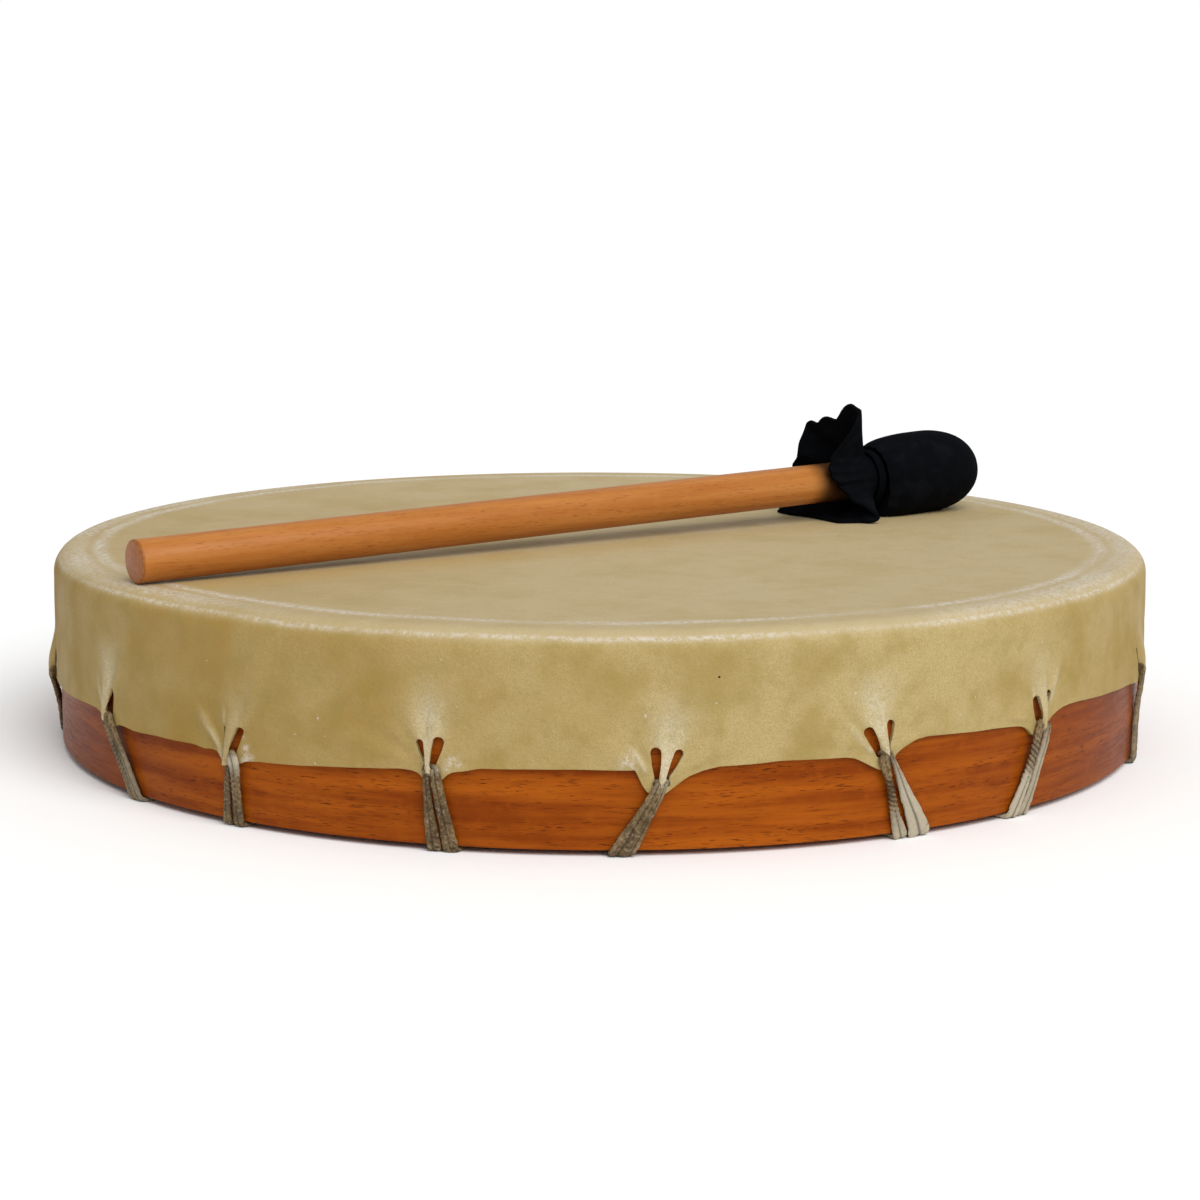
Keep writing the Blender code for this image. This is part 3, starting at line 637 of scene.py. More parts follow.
def column_azimuth(column):
    """Each lacing has a fan of columns that lie close together at its slots."""
    fan, step = divmod(column % (FAN_COLUMNS * len(lacings)), FAN_COLUMNS)
    here = lacings[fan].azimuth
    share = 2.0 * step / FAN_COLUMNS - 1.0
    neighbour = lacings[(fan + (1 if share > 0 else -1)) % len(lacings)].azimuth
    half_gap = arc_length(abs(apart(neighbour, here))) / 2
    offset = half_gap * crowd(abs(share), FINE_SPREAD / half_gap)
    return here + math.copysign(math.degrees(offset / HIDE_RADIUS), share), lacings[fan]


def side_point(lacing, azimuth, height):
    return at(azimuth, HIDE_RADIUS + relief(lacing, azimuth, height), height)


def stretch_mark(lacing, azimuth, height):
    """How pale the hide is drawn: on the strip, in a fan above it, and along its folds."""
    rise, across = strip_place(lacing, azimuth, height)
    width = 0.0014 + 0.26 * max(0.0, rise)
    fade = soft_step(rise, -0.0060, -0.0010) * (1.0 - soft_step(rise, 0.011, 0.032))
    pale = lacing.stretch * fade * math.exp(-(across / width) ** 2)
    for ridge in lacing.ridges:
        pale = max(pale, 0.75 * ridge_share(ridge, lacing, azimuth, height))
    return pale


# White specks of dried size on the hide: azimuth, height and radius
SPECKS = ((-34.45, 0.0268, 0.0012), (-34.5, 0.0232, 0.0022), (-33.8, 0.0232, 0.0016),
          (-34.6, 0.0300, 0.0008), (-13.75, 0.0274, 0.0012), (-13.1, 0.0291, 0.0016),
          (-13.6, 0.0300, 0.0007), (2.5, 0.0302, 0.0026), (-12.6, 0.0283, 0.0008))

hide_shape = bmesh.new()
row_of = hide_shape.verts.layers.int.new("row")
stretch_of = hide_shape.verts.layers.float.new("stretch")
speck_of = hide_shape.verts.layers.float.new("specks")

profile = []
for row in range(SIDE_ROWS + 1):
    profile.append((HIDE_RADIUS, blend(EDGE_LEVEL, shoulder_foot, row / SIDE_ROWS)))
for row in range(1, SHOULDER_ROWS + 1):
    turn = math.radians(90.0 * row / SHOULDER_ROWS)
    profile.append((HIDE_RADIUS - SHOULDER_RADIUS * (1.0 - math.cos(turn)),
                    shoulder_foot + SHOULDER_RADIUS * math.sin(turn)))
profile += [(radius, hide_top) for radius in HEAD_RINGS + (HEAD_MIDDLE,)]
previous = None
for row, (radius, height) in enumerate(profile):
    vertex = hide_shape.verts.new((0.0, -radius, height))
    vertex[row_of] = row
    if previous is not None:
        hide_shape.edges.new((previous, vertex))
    previous = vertex
whole_columns = FAN_COLUMNS * len(lacings)
spin_round(hide_shape, whole_columns)
middle_edges = [edge for edge in hide_shape.edges
                if all(vertex[row_of] == len(profile) - 1 for vertex in edge.verts)]
bmesh.ops.contextual_create(hide_shape, geom=middle_edges)

for vertex in hide_shape.verts:
    row = vertex[row_of]
    column = round(azimuth_of(vertex.co) % 360.0 / 360.0 * whole_columns)
    azimuth, lacing = column_azimuth(column)
    radius, height = profile[row]
    if row <= SIDE_ROWS:
        height = blend(edge_height(azimuth), shoulder_foot, crowd(row / SIDE_ROWS, FINE_RISE))
        vertex.co = side_point(lacing, azimuth, height)
        vertex[stretch_of] = stretch_mark(lacing, azimuth, height)
        vertex[speck_of] = max(
            math.exp(-((unrolled(azimuth, height, speck[0])
                        - Vector((0.0, speck[1]))).length / speck[2]) ** 2) for speck in SPECKS)
    else:
        vertex.co = at(azimuth, radius, height)
        over = (row - SIDE_ROWS) / SHOULDER_ROWS
        if over < 1.0:
            vertex.co += at(azimuth, relief(lacing, azimuth, height) * (1.0 - over), 0.0)

# The slots are cut out, and their rims are drawn on to the outline.
low_faces = {lacing.azimuth: [] for lacing in lacings}
for face in hide_shape.faces:
    middle = face.calc_center_median()
    if middle.z < SLOTS_BELOW:
        nearest = min(lacings, key=lambda lacing: abs(apart(azimuth_of(middle), lacing.azimuth)))
        if abs(apart(azimuth_of(middle), nearest.azimuth)) < SLOTS_WITHIN:
            low_faces[nearest.azimuth].append((face, middle))
for lacing in lacings:
    for line in slot_lines(lacing):
        cut = [face for face, middle in low_faces[lacing.azimuth] if face.is_valid
               and slot_distance(line, unrolled(azimuth_of(middle), middle.z,
                                                lacing.azimuth))[0] < 0.0]
        rim = {vertex for face in cut for vertex in face.verts}
        bmesh.ops.delete(hide_shape, geom=cut, context='FACES')
        for vertex in rim:
            if vertex.is_valid:
                here = unrolled(azimuth_of(vertex.co), vertex.co.z, lacing.azimuth)
                distance, away = slot_distance(line, here)
                here -= away * distance
                vertex.co = side_point(
                    lacing, lacing.azimuth + math.degrees(here.x / HIDE_RADIUS), here.y)

bmesh.ops.recalc_face_normals(hide_shape, faces=hide_shape.faces)
if max(hide_shape.faces, key=lambda face: face.calc_center_median().z).normal.z < 0.0:
    bmesh.ops.reverse_faces(hide_shape, faces=hide_shape.faces)


def skin_grain_group():
    """Rawhide's surface: soft mottling, and fine pale and dark grain."""
    group, given, result = new_group("skin grain", (
        ("Vector", 'NodeSocketVector'), ("Scale", 'NodeSocketFloat')), (
        ("Mottle", 'NodeSocketFloat'), ("Grain", 'NodeSocketFloat'),
        ("Height", 'NodeSocketFloat')))
    vector = given.outputs["Vector"]
    scale = given.outputs["Scale"]
    mottle = noise_over(group, vector, scale, 4.0, 0.55)
    grain = noise_over(group, vector, maths(group, 'MULTIPLY', scale, 52.0), 3.0, 0.65)
    creases = noise_over(group, vector, maths(group, 'MULTIPLY', scale, 7.0), 3.0, 0.5)
    pebbles = add_node(group, "ShaderNodeTexVoronoi", {
        "Vector": vector, "Scale": maths(group, 'MULTIPLY', scale, 16.0)}).outputs["Distance"]
    group.links.new(mottle, result.inputs["Mottle"])
    group.links.new(grain, result.inputs["Grain"])
    rough = maths(group, 'ADD', maths(group, 'MULTIPLY', creases, 1.2), grain)
    group.links.new(maths(group, 'SUBTRACT', rough, maths(group, 'MULTIPLY', pebbles, 0.6)),
                    result.inputs["Height"])
    return group


skin_grain = skin_grain_group()

HIDE_TOP_TAN_AND_SHEEN = (0.510, 0.412, 0.238, 1.0)
HIDE_SIDE_TAN = (0.478, 0.376, 0.182, 1.0)
HIDE_OLIVE = (0.300, 0.218, 0.062, 1.0)
HIDE_AMBER = (0.310, 0.168, 0.022, 1.0)
HIDE_BOUNCE_WARM = (0.480, 0.330, 0.115, 1.0)
HIDE_PALE = (0.600, 0.540, 0.390, 1.0)
HIDE_CHALK = (0.640, 0.590, 0.510, 1.0)
HIDE_SPECK = (0.030, 0.022, 0.015, 1.0)
BEST_LIT_X = 0.07
INNER_WEAR_RADIUS = 0.1828
INNER_WEAR_WIDTH = 0.0046
OUTER_WEAR_RADIUS = 0.1978
OUTER_WEAR_WIDTH = 0.0012
INK_SPECK = at(10.6, HIDE_RADIUS, 0.0566)
INK_SPECK_RADIUS = 0.0005
# The painted bounce light of the dowel on the hide's top, a warm band in front of it: the azimuth
# that it faces, how far it lies from the drum's axis, and how strong it is
BOUNCE_STREAK_TURN = 33.6
BOUNCE_STREAK_OFFSET = 0.0076
BOUNCE_STREAK_SHARE = 0.60


def make_rawhide():
    material, tree, shader, coordinates = new_material("rawhide")
    skin = use_group(tree, skin_grain, {"Vector": coordinates, "Scale": 38.0})
    parts = add_node(tree, "ShaderNodeSeparateXYZ", {0: coordinates})
    height = parts.outputs["Z"]
    flat = stretched(tree, coordinates, (1.0, 1.0, 0.0))
    radius = add_node(tree, "ShaderNodeVectorMath", {0: flat},
                      operation='LENGTH').outputs["Value"]
    # The top is painted paler and whiter than the side: partly the hide's own tone, partly painted
    # sheen of the bright surroundings.
    on_top = ramp(tree, height, hide_top - 0.0060, hide_top - 0.0006)
    tone = mixed(tree, on_top, HIDE_SIDE_TAN, HIDE_TOP_TAN_AND_SHEEN)
    cloudy = ramp(tree, skin.outputs["Mottle"], 0.42, 0.70, 0.0, 0.70)
    mottling = ramp(tree, on_top, 0.0, 1.0, 1.0, 0.27)
    tone = mixed(tree, maths(tree, 'MULTIPLY', cloudy, mottling), tone, HIDE_OLIVE)
    # Painted shade mixed with the hide's own patchy tone: the side is painted more amber the
    # further it lies from where the key light falls strongest, a little right of the front.
    broad = noise_over(tree, coordinates, 15.0, 3.0, 0.55)
    from_best_lit = distance_from(tree, parts.outputs["X"], BEST_LIT_X)
    warm = maths(tree, 'MULTIPLY', ramp(tree, broad, 0.36, 0.64, 0.45, 1.0),
                 ramp(tree, from_best_lit, 0.02, 0.22, 0.12, 1.0))
    tone = mixed(tree, maths(tree, 'MULTIPLY', warm, mottling), tone, HIDE_AMBER)
    blotches = ramp(tree, noise_over(tree, coordinates, 115.0, 4.0, 0.6), 0.46, 0.70, 0.0, 0.40)
    tone = mixed(tree, maths(tree, 'MULTIPLY', blotches, mottling), tone, HIDE_OLIVE)

    # A warm band of painted bounce light from the dowel runs across the top, just in front of
    # where the beater lies.
    in_front = add_node(tree, "ShaderNodeVectorMath", {
        0: coordinates, 1: at(BOUNCE_STREAK_TURN, 1.0, 0.0)}, operation='DOT_PRODUCT').outputs["Value"]
    streak = maths(tree, 'MULTIPLY',
                   ramp(tree, in_front, BOUNCE_STREAK_OFFSET, BOUNCE_STREAK_OFFSET + 0.008),
                   ramp(tree, in_front, BOUNCE_STREAK_OFFSET + 0.012, BOUNCE_STREAK_OFFSET + 0.036, 1.0, 0.0))
    streak = maths(tree, 'MULTIPLY', maths(tree, 'MULTIPLY', streak, on_top),
                   ramp(tree, parts.outputs["X"], -0.06, 0.10, BOUNCE_STREAK_SHARE, BOUNCE_STREAK_SHARE / 3))
    patchy = ramp(tree, noise_over(tree, coordinates, 45.0, 4.0, 0.6), 0.30, 0.60, 0.45, 1.0)
    tone = mixed(tree, maths(tree, 'MULTIPLY', streak, patchy), tone, HIDE_BOUNCE_WARM)

    streaks = noise_over(tree, coordinates, 160.0, 3.0, 0.6)
    pale = maths(tree, 'MULTIPLY', layer_value(tree, "stretch"),
                 ramp(tree, streaks, 0.30, 0.60, 0.50, 0.90))
    tone = mixed(tree, pale, tone, HIDE_PALE)

    drift = maths(tree, 'MULTIPLY', maths(tree, 'SUBTRACT', noise_over(
        tree, coordinates, 22.0, 3.0), 0.5), 0.009)
    wandering = maths(tree, 'ADD', radius, drift)
    scuffs = ramp(tree, noise_over(tree, coordinates, 520.0, 5.0, 0.80), 0.42, 0.58)
    patches = ramp(tree, noise_over(tree, coordinates, 17.0, 3.0), 0.32, 0.55, 0.35, 1.0)
    inner = ramp(tree, distance_from(tree, wandering, INNER_WEAR_RADIUS),
                 0.0, INNER_WEAR_WIDTH, 1.0, 0.0)
    steadier = maths(tree, 'ADD', radius, maths(tree, 'MULTIPLY', drift, 0.15))
    outer = ramp(tree, distance_from(tree, steadier, OUTER_WEAR_RADIUS),
                 0.0, OUTER_WEAR_WIDTH, 0.80, 0.0)
    outer = maths(tree, 'MULTIPLY', outer, ramp(tree, height, hide_top - 0.0085,
                                                hide_top - 0.0040))
    towards_sides = ramp(tree, maths(tree, 'ABSOLUTE', parts.outputs["X"]), 0.08, 0.15)
    shoulder = maths(tree, 'MULTIPLY', ramp(tree, wandering, 0.1850, 0.1900),
                     ramp(tree, wandering, 0.1940, 0.1985, 0.85, 0.0))
    worn = maths(tree, 'MAXIMUM', maths(tree, 'MAXIMUM', inner, outer),
                 maths(tree, 'MULTIPLY', shoulder, towards_sides))
    worn = maths(tree, 'MULTIPLY', worn, patches)
    speckled = ramp(tree, scuffs, 0.0, 1.0, 0.15, 0.95)
    tone = mixed(tree, maths(tree, 'MULTIPLY', worn, speckled), tone, HIDE_CHALK)
    specks = maths(tree, 'MULTIPLY', layer_value(tree, "specks"), speckled)
    tone = mixed(tree, specks, tone, HIDE_CHALK)
    flecks = ramp(tree, noise_over(tree, coordinates, 460.0, 1.0), 0.775, 0.81, 0.0, 0.5)
    tone = mixed(tree, flecks, tone, HIDE_CHALK)

    grain = maths(tree, 'MULTIPLY', ramp(tree, skin.outputs["Grain"], 0.35, 0.68, 0.0, 0.55),
                  mottling)
    tone = mixed(tree, grain, tone, HIDE_OLIVE)
    from_speck = add_node(tree, "ShaderNodeVectorMath", {0: coordinates, 1: INK_SPECK},
                          operation='DISTANCE').outputs["Value"]
    ink = ramp(tree, from_speck, INK_SPECK_RADIUS * 0.6, INK_SPECK_RADIUS, 1.0, 0.0)
    tone = mixed(tree, ink, tone, HIDE_SPECK)
    dress(tree, shader, tone, ramp(tree, skin.outputs["Mottle"], 0.3, 0.7, 0.50, 0.64),
          skin.outputs["Height"], strength=0.45, depth=0.0004, shine=0.08)
    return material


drumhead = make_piece(hide_shape, "rawhide_head", make_rawhide(), ["drumhead"],
                      crease=60.0)
hide_wall = drumhead.modifiers.new("hide thickness", 'SOLIDIFY')
hide_wall.thickness = HIDE_THICKNESS
hide_wall.offset = -1.0
hide_rim = drumhead.modifiers.new("softened cut edges", 'BEVEL')
hide_rim.width = 0.00025
hide_rim.segments = 2
hide_rim.limit_method = 'ANGLE'
hide_rim.angle_limit = math.radians(50.0)


# The lacings. Strips of the same rawhide, cut a few millimetres wide, threaded wet behind
# the strip of hide between each pair of slots and drawn down under the hoop to the ring in
# the middle. They dried flat, creased or twisted, and darker than the head.
THONG_WIDTH = 0.0026
THONG_THICKNESS = 0.0016
THONG_GAP = 0.0003
THONG_SIDES = 20
TWIST_PITCH = 0.0034
RING_RADIUS = 0.0360
RING_HEIGHT = 0.0049
RING_CORE = 0.0033
RING_APPROACH = 0.0160
WRAP_START = -200.0
WRAP_STEP = 25.0
WRAP_STEPS = 9
WRAP_SHIFT = 0.35
UNDER_HOOP = (0.0600, 0.0220, 0.0120, 0.0070, 0.0040)
# The lacings at the drum's left and right are seen edge-on, and stand out from the hoop less.
SIDE_LACINGS = (65.0, 90.0)
# The third lacing's left strand starts under the hide's edge, which reaches down over it.
HIDDEN_TOP = 2


def straight_bar(bm, around, rings, capped=True):
    """Makes a round bar that is cut into rings, and gives each of its vertices with its share
    of the length and its turn round the bar, so that it can be bent into place."""
    bmesh.ops.create_cone(bm, cap_ends=capped, segments=around, radius1=1.0, radius2=1.0,
                          depth=1.0)
    lengthwise = [edge for edge in bm.edges
                  if abs(edge.verts[0].co.z - edge.verts[1].co.z) > 0.5]
    bmesh.ops.subdivide_edges(bm, edges=lengthwise, cuts=rings - 2, use_grid_fill=True)
    return [(vertex, vertex.co.z + 0.5, math.atan2(vertex.co.y, vertex.co.x))
            for vertex in bm.verts]


def smooth_route(stations):
    """Fills in a smooth curve through stations, each one a long vector of all its values. It
    has fine steps on the drum's side, where it shows, and coarse steps underneath."""
    route = []
    for index in range(len(stations) - 1):
        first = stations[max(index - 1, 0)]
        second = stations[index]
        third = stations[index + 1]
        fourth = stations[min(index + 2, len(stations) - 1)]
        steps = 12 if second.to_2d().length > hoop_radius - HOOP_CORNER else 4
        for step in range(steps):
            t = step / steps
            route.append(0.5 * (2.0 * second + (third - first) * t
                                + (2.0 * first - 5.0 * second + 4.0 * third - fourth) * t * t
                                + (3.0 * (second - third) + fourth - first) * t ** 3))
    route.append(stations[-1])
    return route


def station(point, outward, width, thickness, pale, twist):
    return Vector((*point, *outward, width, thickness, pale, twist))


def facing(azimuth, turn):
    """The way that a thong's outer side faces: 0 up, 90 outwards, 180 down."""
    radians = math.radians(turn)
    return at(azimuth, math.sin(radians), math.cos(radians))


def strand_stations(number, lacing, side):
    """One strand, from the grip ring to where it turns in behind the strip of hide."""
    path = lacing.strands[0 if side < 0 else 1]
    half = THONG_THICKNESS / 2
    ground, _, width, pale, _ = path[-1]
    ring_azimuth = lacings[0].azimuth + (2 * number + side / 2) * 180.0 / len(lacings)
    made = []
    wrap = RING_CORE + half
    for step in range(WRAP_STEPS):
        turn = math.radians(WRAP_START + WRAP_STEP * step)
        shift = ring_azimuth + side * (WRAP_STEPS - 1 - step) * WRAP_SHIFT
        made.append(station(at(shift, RING_RADIUS + wrap * math.cos(turn),
                               RING_HEIGHT + wrap * math.sin(turn)),
                            at(shift, math.cos(turn), math.sin(turn)), THONG_WIDTH,
                            THONG_THICKNESS * 0.8, 0.2, 0.0))
    # A leaning strand goes on leaning where it turns under the hoop, as a flat strip does.
    lean = (ground - path[-2][0]) / (path[-2][1] - path[-1][1])
    corner = HOOP_CORNER + THONG_GAP + half
    turned_in = ground + lean * (path[-1][1] - hoop_bottom + 0.0015)
    for radius in (RING_RADIUS + RING_APPROACH, *(hoop_radius - inwards for inwards in UNDER_HOOP),
                   hoop_radius - HOOP_CORNER - 0.0012):
        share = soft_step(radius, RING_RADIUS, hoop_radius)
        azimuth = ring_azimuth + apart(turned_in, ring_azimuth) * share
        made.append(station(at(azimuth, radius, half), facing(azimuth, 180.0),
                            blend(THONG_WIDTH, width, share), THONG_THICKNESS, pale, 0.0))
    for turn in (30.0, 60.0, 90.0):
        radians = math.radians(turn)
        radius = hoop_radius - HOOP_CORNER + corner * math.sin(radians)
        height = hoop_bottom + HOOP_CORNER - corner * math.cos(radians)
        azimuth = blend(turned_in, ground + lean * (path[-1][1] - height), turn / 90.0)
        made.append(station(at(azimuth, radius, height), facing(azimuth, 180.0 - turn),
                            width * blend(0.94, 1.0, turn / 90.0), THONG_THICKNESS, pale, 0.0))
    on_wood = hoop_radius + THONG_GAP + half
    under_hide = number == HIDDEN_TOP and side < 0
    over_hide = on_wood if under_hide else (
        HIDE_RADIUS + THONG_GAP + half + max(0.0, lacing.bulge - 0.0022))
    bottom = hoop_bottom + HOOP_CORNER
    at_the_sides = SIDE_LACINGS[0] < abs(lacing.azimuth) < SIDE_LACINGS[1]
    for azimuth, height, width, pale, twist in reversed(path):
        share = (height - bottom) / (path[0][1] - bottom)
        stand = soft_step(share, 0.50, 1.0) if at_the_sides else min(1.0, share * 1.15)
        if share > 0.08:
            made.append(station(at(azimuth, blend(on_wood, over_hide, stand),
                                   height), facing(azimuth, 90.0), width,
                                THONG_THICKNESS * blend(1.0, 1.15, share), pale, twist))
    return made


def thong_route(number, lacing):
    behind = HIDE_RADIUS + lacing.bulge - HIDE_THICKNESS - THONG_GAP - THONG_THICKNESS / 2
    crown, height = lacing.crown
    reach = math.degrees(SLOT_LEAD / HIDE_RADIUS)
    arch = []
    for side in (-0.9, 0.0, 0.9):
        azimuth = crown + side * reach
        sag = 0.0006 * abs(side)
        arch.append(station(at(azimuth, behind, height - sag), facing(azimuth, 90.0),
                            THONG_WIDTH, THONG_THICKNESS, 0.1, 0.0))
    return smooth_route(strand_stations(number, lacing, -1) + arch
                        + list(reversed(strand_stations(number, lacing, 1))))


def make_thong(number, lacing, material):
    route = thong_route(number, lacing)
    lengths = [0.0]
    for before, after in zip(route, route[1:]):
        lengths.append(lengths[-1] + (after - before).to_3d().length)
    bm = bmesh.new()
    pale_of = bm.verts.layers.float.new("pale")
    crease_shade_of = bm.verts.layers.float.new("crease_shade")
    for vertex, share, turn in straight_bar(bm, THONG_SIDES, len(route)):
        index = min(len(route) - 1, max(0, round(share * (len(route) - 1))))
        here = route[index]
        along = (route[min(index + 1, len(route) - 1)]
                 - route[max(index - 1, 0)]).to_3d().normalized()
        across = along.cross(Vector(here[3:6])).normalized()
        outward = across.cross(along)
        width, thickness, pale, twist = here[6:10]
        side = math.copysign(abs(math.cos(turn)) ** 0.75, math.cos(turn))
        face = math.copysign(abs(math.sin(turn)) ** 0.8, math.sin(turn))
        crease = 0.35 * math.exp(-(side / 0.20) ** 2) if face > 0.0 else 0.0
        spin = math.tau * lengths[index] / TWIST_PITCH
        lobe = 1.0 + 0.22 * math.cos(2.0 * (turn - spin))
        centre = here.to_3d()
        ragged = noise.noise(centre * 600.0 + Vector((turn, number, 0.0)))
        x = blend(side * width / 2, 0.46 * width * math.cos(turn) * lobe, twist)
        y = blend((face - crease) * thickness / 2, 0.52 * thickness * math.sin(turn) * lobe,
                  twist)
        vertex.co = (centre + across * x * (1.0 + 0.12 * ragged)
                     + outward * y * (1.0 + 0.20 * ragged))
        vertex[pale_of] = pale
        # The crease down a flat thong's face and the hollows of a twist are marked for painted
        # shade.
        vertex[crease_shade_of] = blend(2.4 * crease, (1.22 - lobe) / 0.44, twist)
    bmesh.ops.recalc_face_normals(bm, faces=bm.faces)
    return make_piece(bm, f"thong_{number + 1:02d}", material,
                      [f"lacing_{number + 1:02d}"], crease=75.0)


THONG_DARK = (0.050, 0.030, 0.014, 1.0)
THONG_GREY = (0.155, 0.102, 0.050, 1.0)
THONG_TAN = (0.310, 0.210, 0.102, 1.0)
THONG_PALE = (0.620, 0.545, 0.400, 1.0)


def make_thong_skin():
    material, tree, shader, coordinates = new_material("rawhide thong")
    skin = use_group(tree, skin_grain, {"Vector": coordinates, "Scale": 130.0})
    tone = mixed(tree, ramp(tree, skin.outputs["Mottle"], 0.36, 0.64), THONG_GREY, THONG_TAN)
    scales = noise_over(tree, coordinates, 950.0, 2.0, 0.6)
    tone = mixed(tree, ramp(tree, scales, 0.50, 0.64, 0.0, 0.60), tone, THONG_DARK)
    tone = mixed(tree, ramp(tree, scales, 0.34, 0.44, 0.28, 0.0), tone, THONG_PALE)
    pale = ramp(tree, layer_value(tree, "pale"), 0.10, 0.85, 0.0, 0.95)
    tone = mixed(tree, pale, tone, THONG_PALE)
    # Painted shade darkens the thong's creases and the hollows of its twists.
    crease_shade = ramp(tree, layer_value(tree, "crease_shade"), 0.30, 1.0, 0.0, 0.85)
    tone = mixed(tree, crease_shade, tone, THONG_DARK)
    dress(tree, shader, tone, ramp(tree, skin.outputs["Mottle"], 0.3, 0.7, 0.42, 0.62),
          skin.outputs["Height"], strength=0.9, depth=0.0006, shine=0.12)
    return material


thong_skin = make_thong_skin()
for number, lacing in enumerate(lacings):
    make_thong(number, lacing, thong_skin)


# The grip ring in the middle of the underside, which the hand holds: a ring of rawhide
# bound all round with thong. It is a torus whose section swells at every turn of binding.
BINDING_TURNS = 64
BINDING_DEPTH = 0.0004
ring_shape = bmesh.new()
bmesh.ops.create_circle(ring_shape, segments=20, radius=RING_CORE, cap_ends=False)
bmesh.ops.transform(ring_shape, verts=ring_shape.verts, matrix=(
    Matrix.Translation((RING_RADIUS, 0.0, RING_HEIGHT)) @ Matrix.Rotation(math.pi / 2, 4, 'X')))
spin_round(ring_shape, BINDING_TURNS * 8)
ring_pale = ring_shape.verts.layers.float.new("pale")
ring_crease_shade = ring_shape.verts.layers.float.new("crease_shade")
for vertex in ring_shape.verts:
    around = math.atan2(vertex.co.y, vertex.co.x)
    middle = Vector((RING_RADIUS * math.cos(around), RING_RADIUS * math.sin(around), RING_HEIGHT))
    out = vertex.co - middle
    section_turn = math.atan2(out.z, out.dot(middle.normalized()))
    swell = abs(math.sin((BINDING_TURNS * around + section_turn) / 2))
    vertex.co = middle + out.normalized() * (RING_CORE + BINDING_DEPTH * (swell - 0.6))
    vertex[ring_pale] = 0.2
    # The hollows between the turns of binding are marked for painted shade.
    vertex[ring_crease_shade] = 1.0 - swell
bmesh.ops.recalc_face_normals(ring_shape, faces=ring_shape.faces)
make_piece(ring_shape, "bound_grip_ring", thong_skin, ["grip_ring"])


# The beater's handle. A plain round hardwood dowel, lightly oiled, sawn square at its free
# end with the edge just broken. It lies across the head, and its other end is in the bulb.
BEATER_TURN = 33.6
BEATER_END_X = -0.1557
BEATER_END_Y = -0.1126
HANDLE_RADIUS = 0.0075
HANDLE_LENGTH = 0.3330
HANDLE_SOCKET_DEPTH = 0.0240
HANDLE_EDGE = 0.0007
HEAD_LENGTH = 0.0555
HEAD_RADIUS = 0.0162
REST_GAP = 0.0003
BULB_SINK = 0.0011
neck_end = HANDLE_LENGTH - HANDLE_SOCKET_DEPTH
end_height = hide_top + REST_GAP + HANDLE_RADIUS
head_rise = hide_top + REST_GAP + HEAD_RADIUS - BULB_SINK - end_height
beater_tilt = math.asin(head_rise / (neck_end + HEAD_LENGTH / 2))
beater_place = (Matrix.Translation((BEATER_END_X, BEATER_END_Y, end_height))
                @ Matrix.Rotation(math.radians(BEATER_TURN), 4, 'Z')
                @ Matrix.Rotation(-beater_tilt, 4, 'Y'))

DOWEL_LIGHT = (0.475, 0.186, 0.043, 1.0)
DOWEL_MIDDLE = (0.392, 0.130, 0.022, 1.0)
DOWEL_DARK = (0.215, 0.060, 0.010, 1.0)
DOWEL_END = (0.270, 0.085, 0.018, 1.0)
DOWEL_RUFF_SHADE = (0.030, 0.014, 0.007, 1.0)
RUFF_SHADE_START = 0.2790
RUFF_SHADE_END = 0.2890
DOWEL_GRAIN_SQUEEZE = (1.0, 16.0, 16.0)


def make_oiled_dowel():
    material, tree, shader, coordinates = new_material("oiled dowel")
    turned = add_node(tree, "ShaderNodeMapping", {
        "Vector": coordinates, "Rotation": (0.0, 0.0, -math.radians(BEATER_TURN))},
        vector_type='POINT').outputs["Vector"]
    grain = use_group(tree, wood_grain, {
        "Grain Vector": stretched(tree, turned, DOWEL_GRAIN_SQUEEZE), "Plain Vector": turned,
        "Light": DOWEL_LIGHT, "Middle": DOWEL_MIDDLE, "Dark": DOWEL_DARK})
    sawn = (Matrix.Rotation(-math.radians(BEATER_TURN), 3, 'Z')
            @ Vector((BEATER_END_X, BEATER_END_Y, 0.0))).x
    along = add_node(tree, "ShaderNodeSeparateXYZ", {0: turned}).outputs["X"]
    rings = ramp(tree, noise_over(tree, turned, 700.0, 3.0), 0.35, 0.65, 0.55, 1.0)
    end = maths(tree, 'MULTIPLY', ramp(tree, along, sawn + 0.0006, sawn + 0.0011, 1.0, 0.0), rings)
    tone = mixed(tree, end, grain.outputs["Color"], DOWEL_END)
    # Painted shade: the dowel darkens where the suede ruff overhangs it, towards the head.
    painted_ruff_shade = ramp(tree, along, sawn + RUFF_SHADE_START, sawn + RUFF_SHADE_END, 0.0, 0.9)
    tone = mixed(tree, painted_ruff_shade, tone, DOWEL_RUFF_SHADE)
    dress(tree, shader, tone, grain.outputs["Roughness"], grain.outputs["Height"],
          strength=0.2, depth=0.0002, shine=0.18)
    return material


handle_shape = bmesh.new()
bmesh.ops.create_cone(handle_shape, cap_ends=True, segments=64, radius1=HANDLE_RADIUS,
                      radius2=HANDLE_RADIUS, depth=HANDLE_LENGTH)
rims = [edge for edge in handle_shape.edges
        if abs(edge.verts[0].co.z - edge.verts[1].co.z) < 1e-6]
bmesh.ops.bevel(handle_shape, geom=rims, offset=HANDLE_EDGE, segments=3, profile=0.5,
                affect='EDGES', material=-1)
bmesh.ops.transform(handle_shape, verts=handle_shape.verts, matrix=(
    beater_place @ Matrix.Translation((HANDLE_LENGTH / 2, 0.0, 0.0))
    @ Matrix.Rotation(math.pi / 2, 4, 'Y')))
bmesh.ops.recalc_face_normals(handle_shape, faces=handle_shape.faces)
make_piece(handle_shape, "dowel_handle", make_oiled_dowel(), ["beater_handle"],
           crease=30.0)


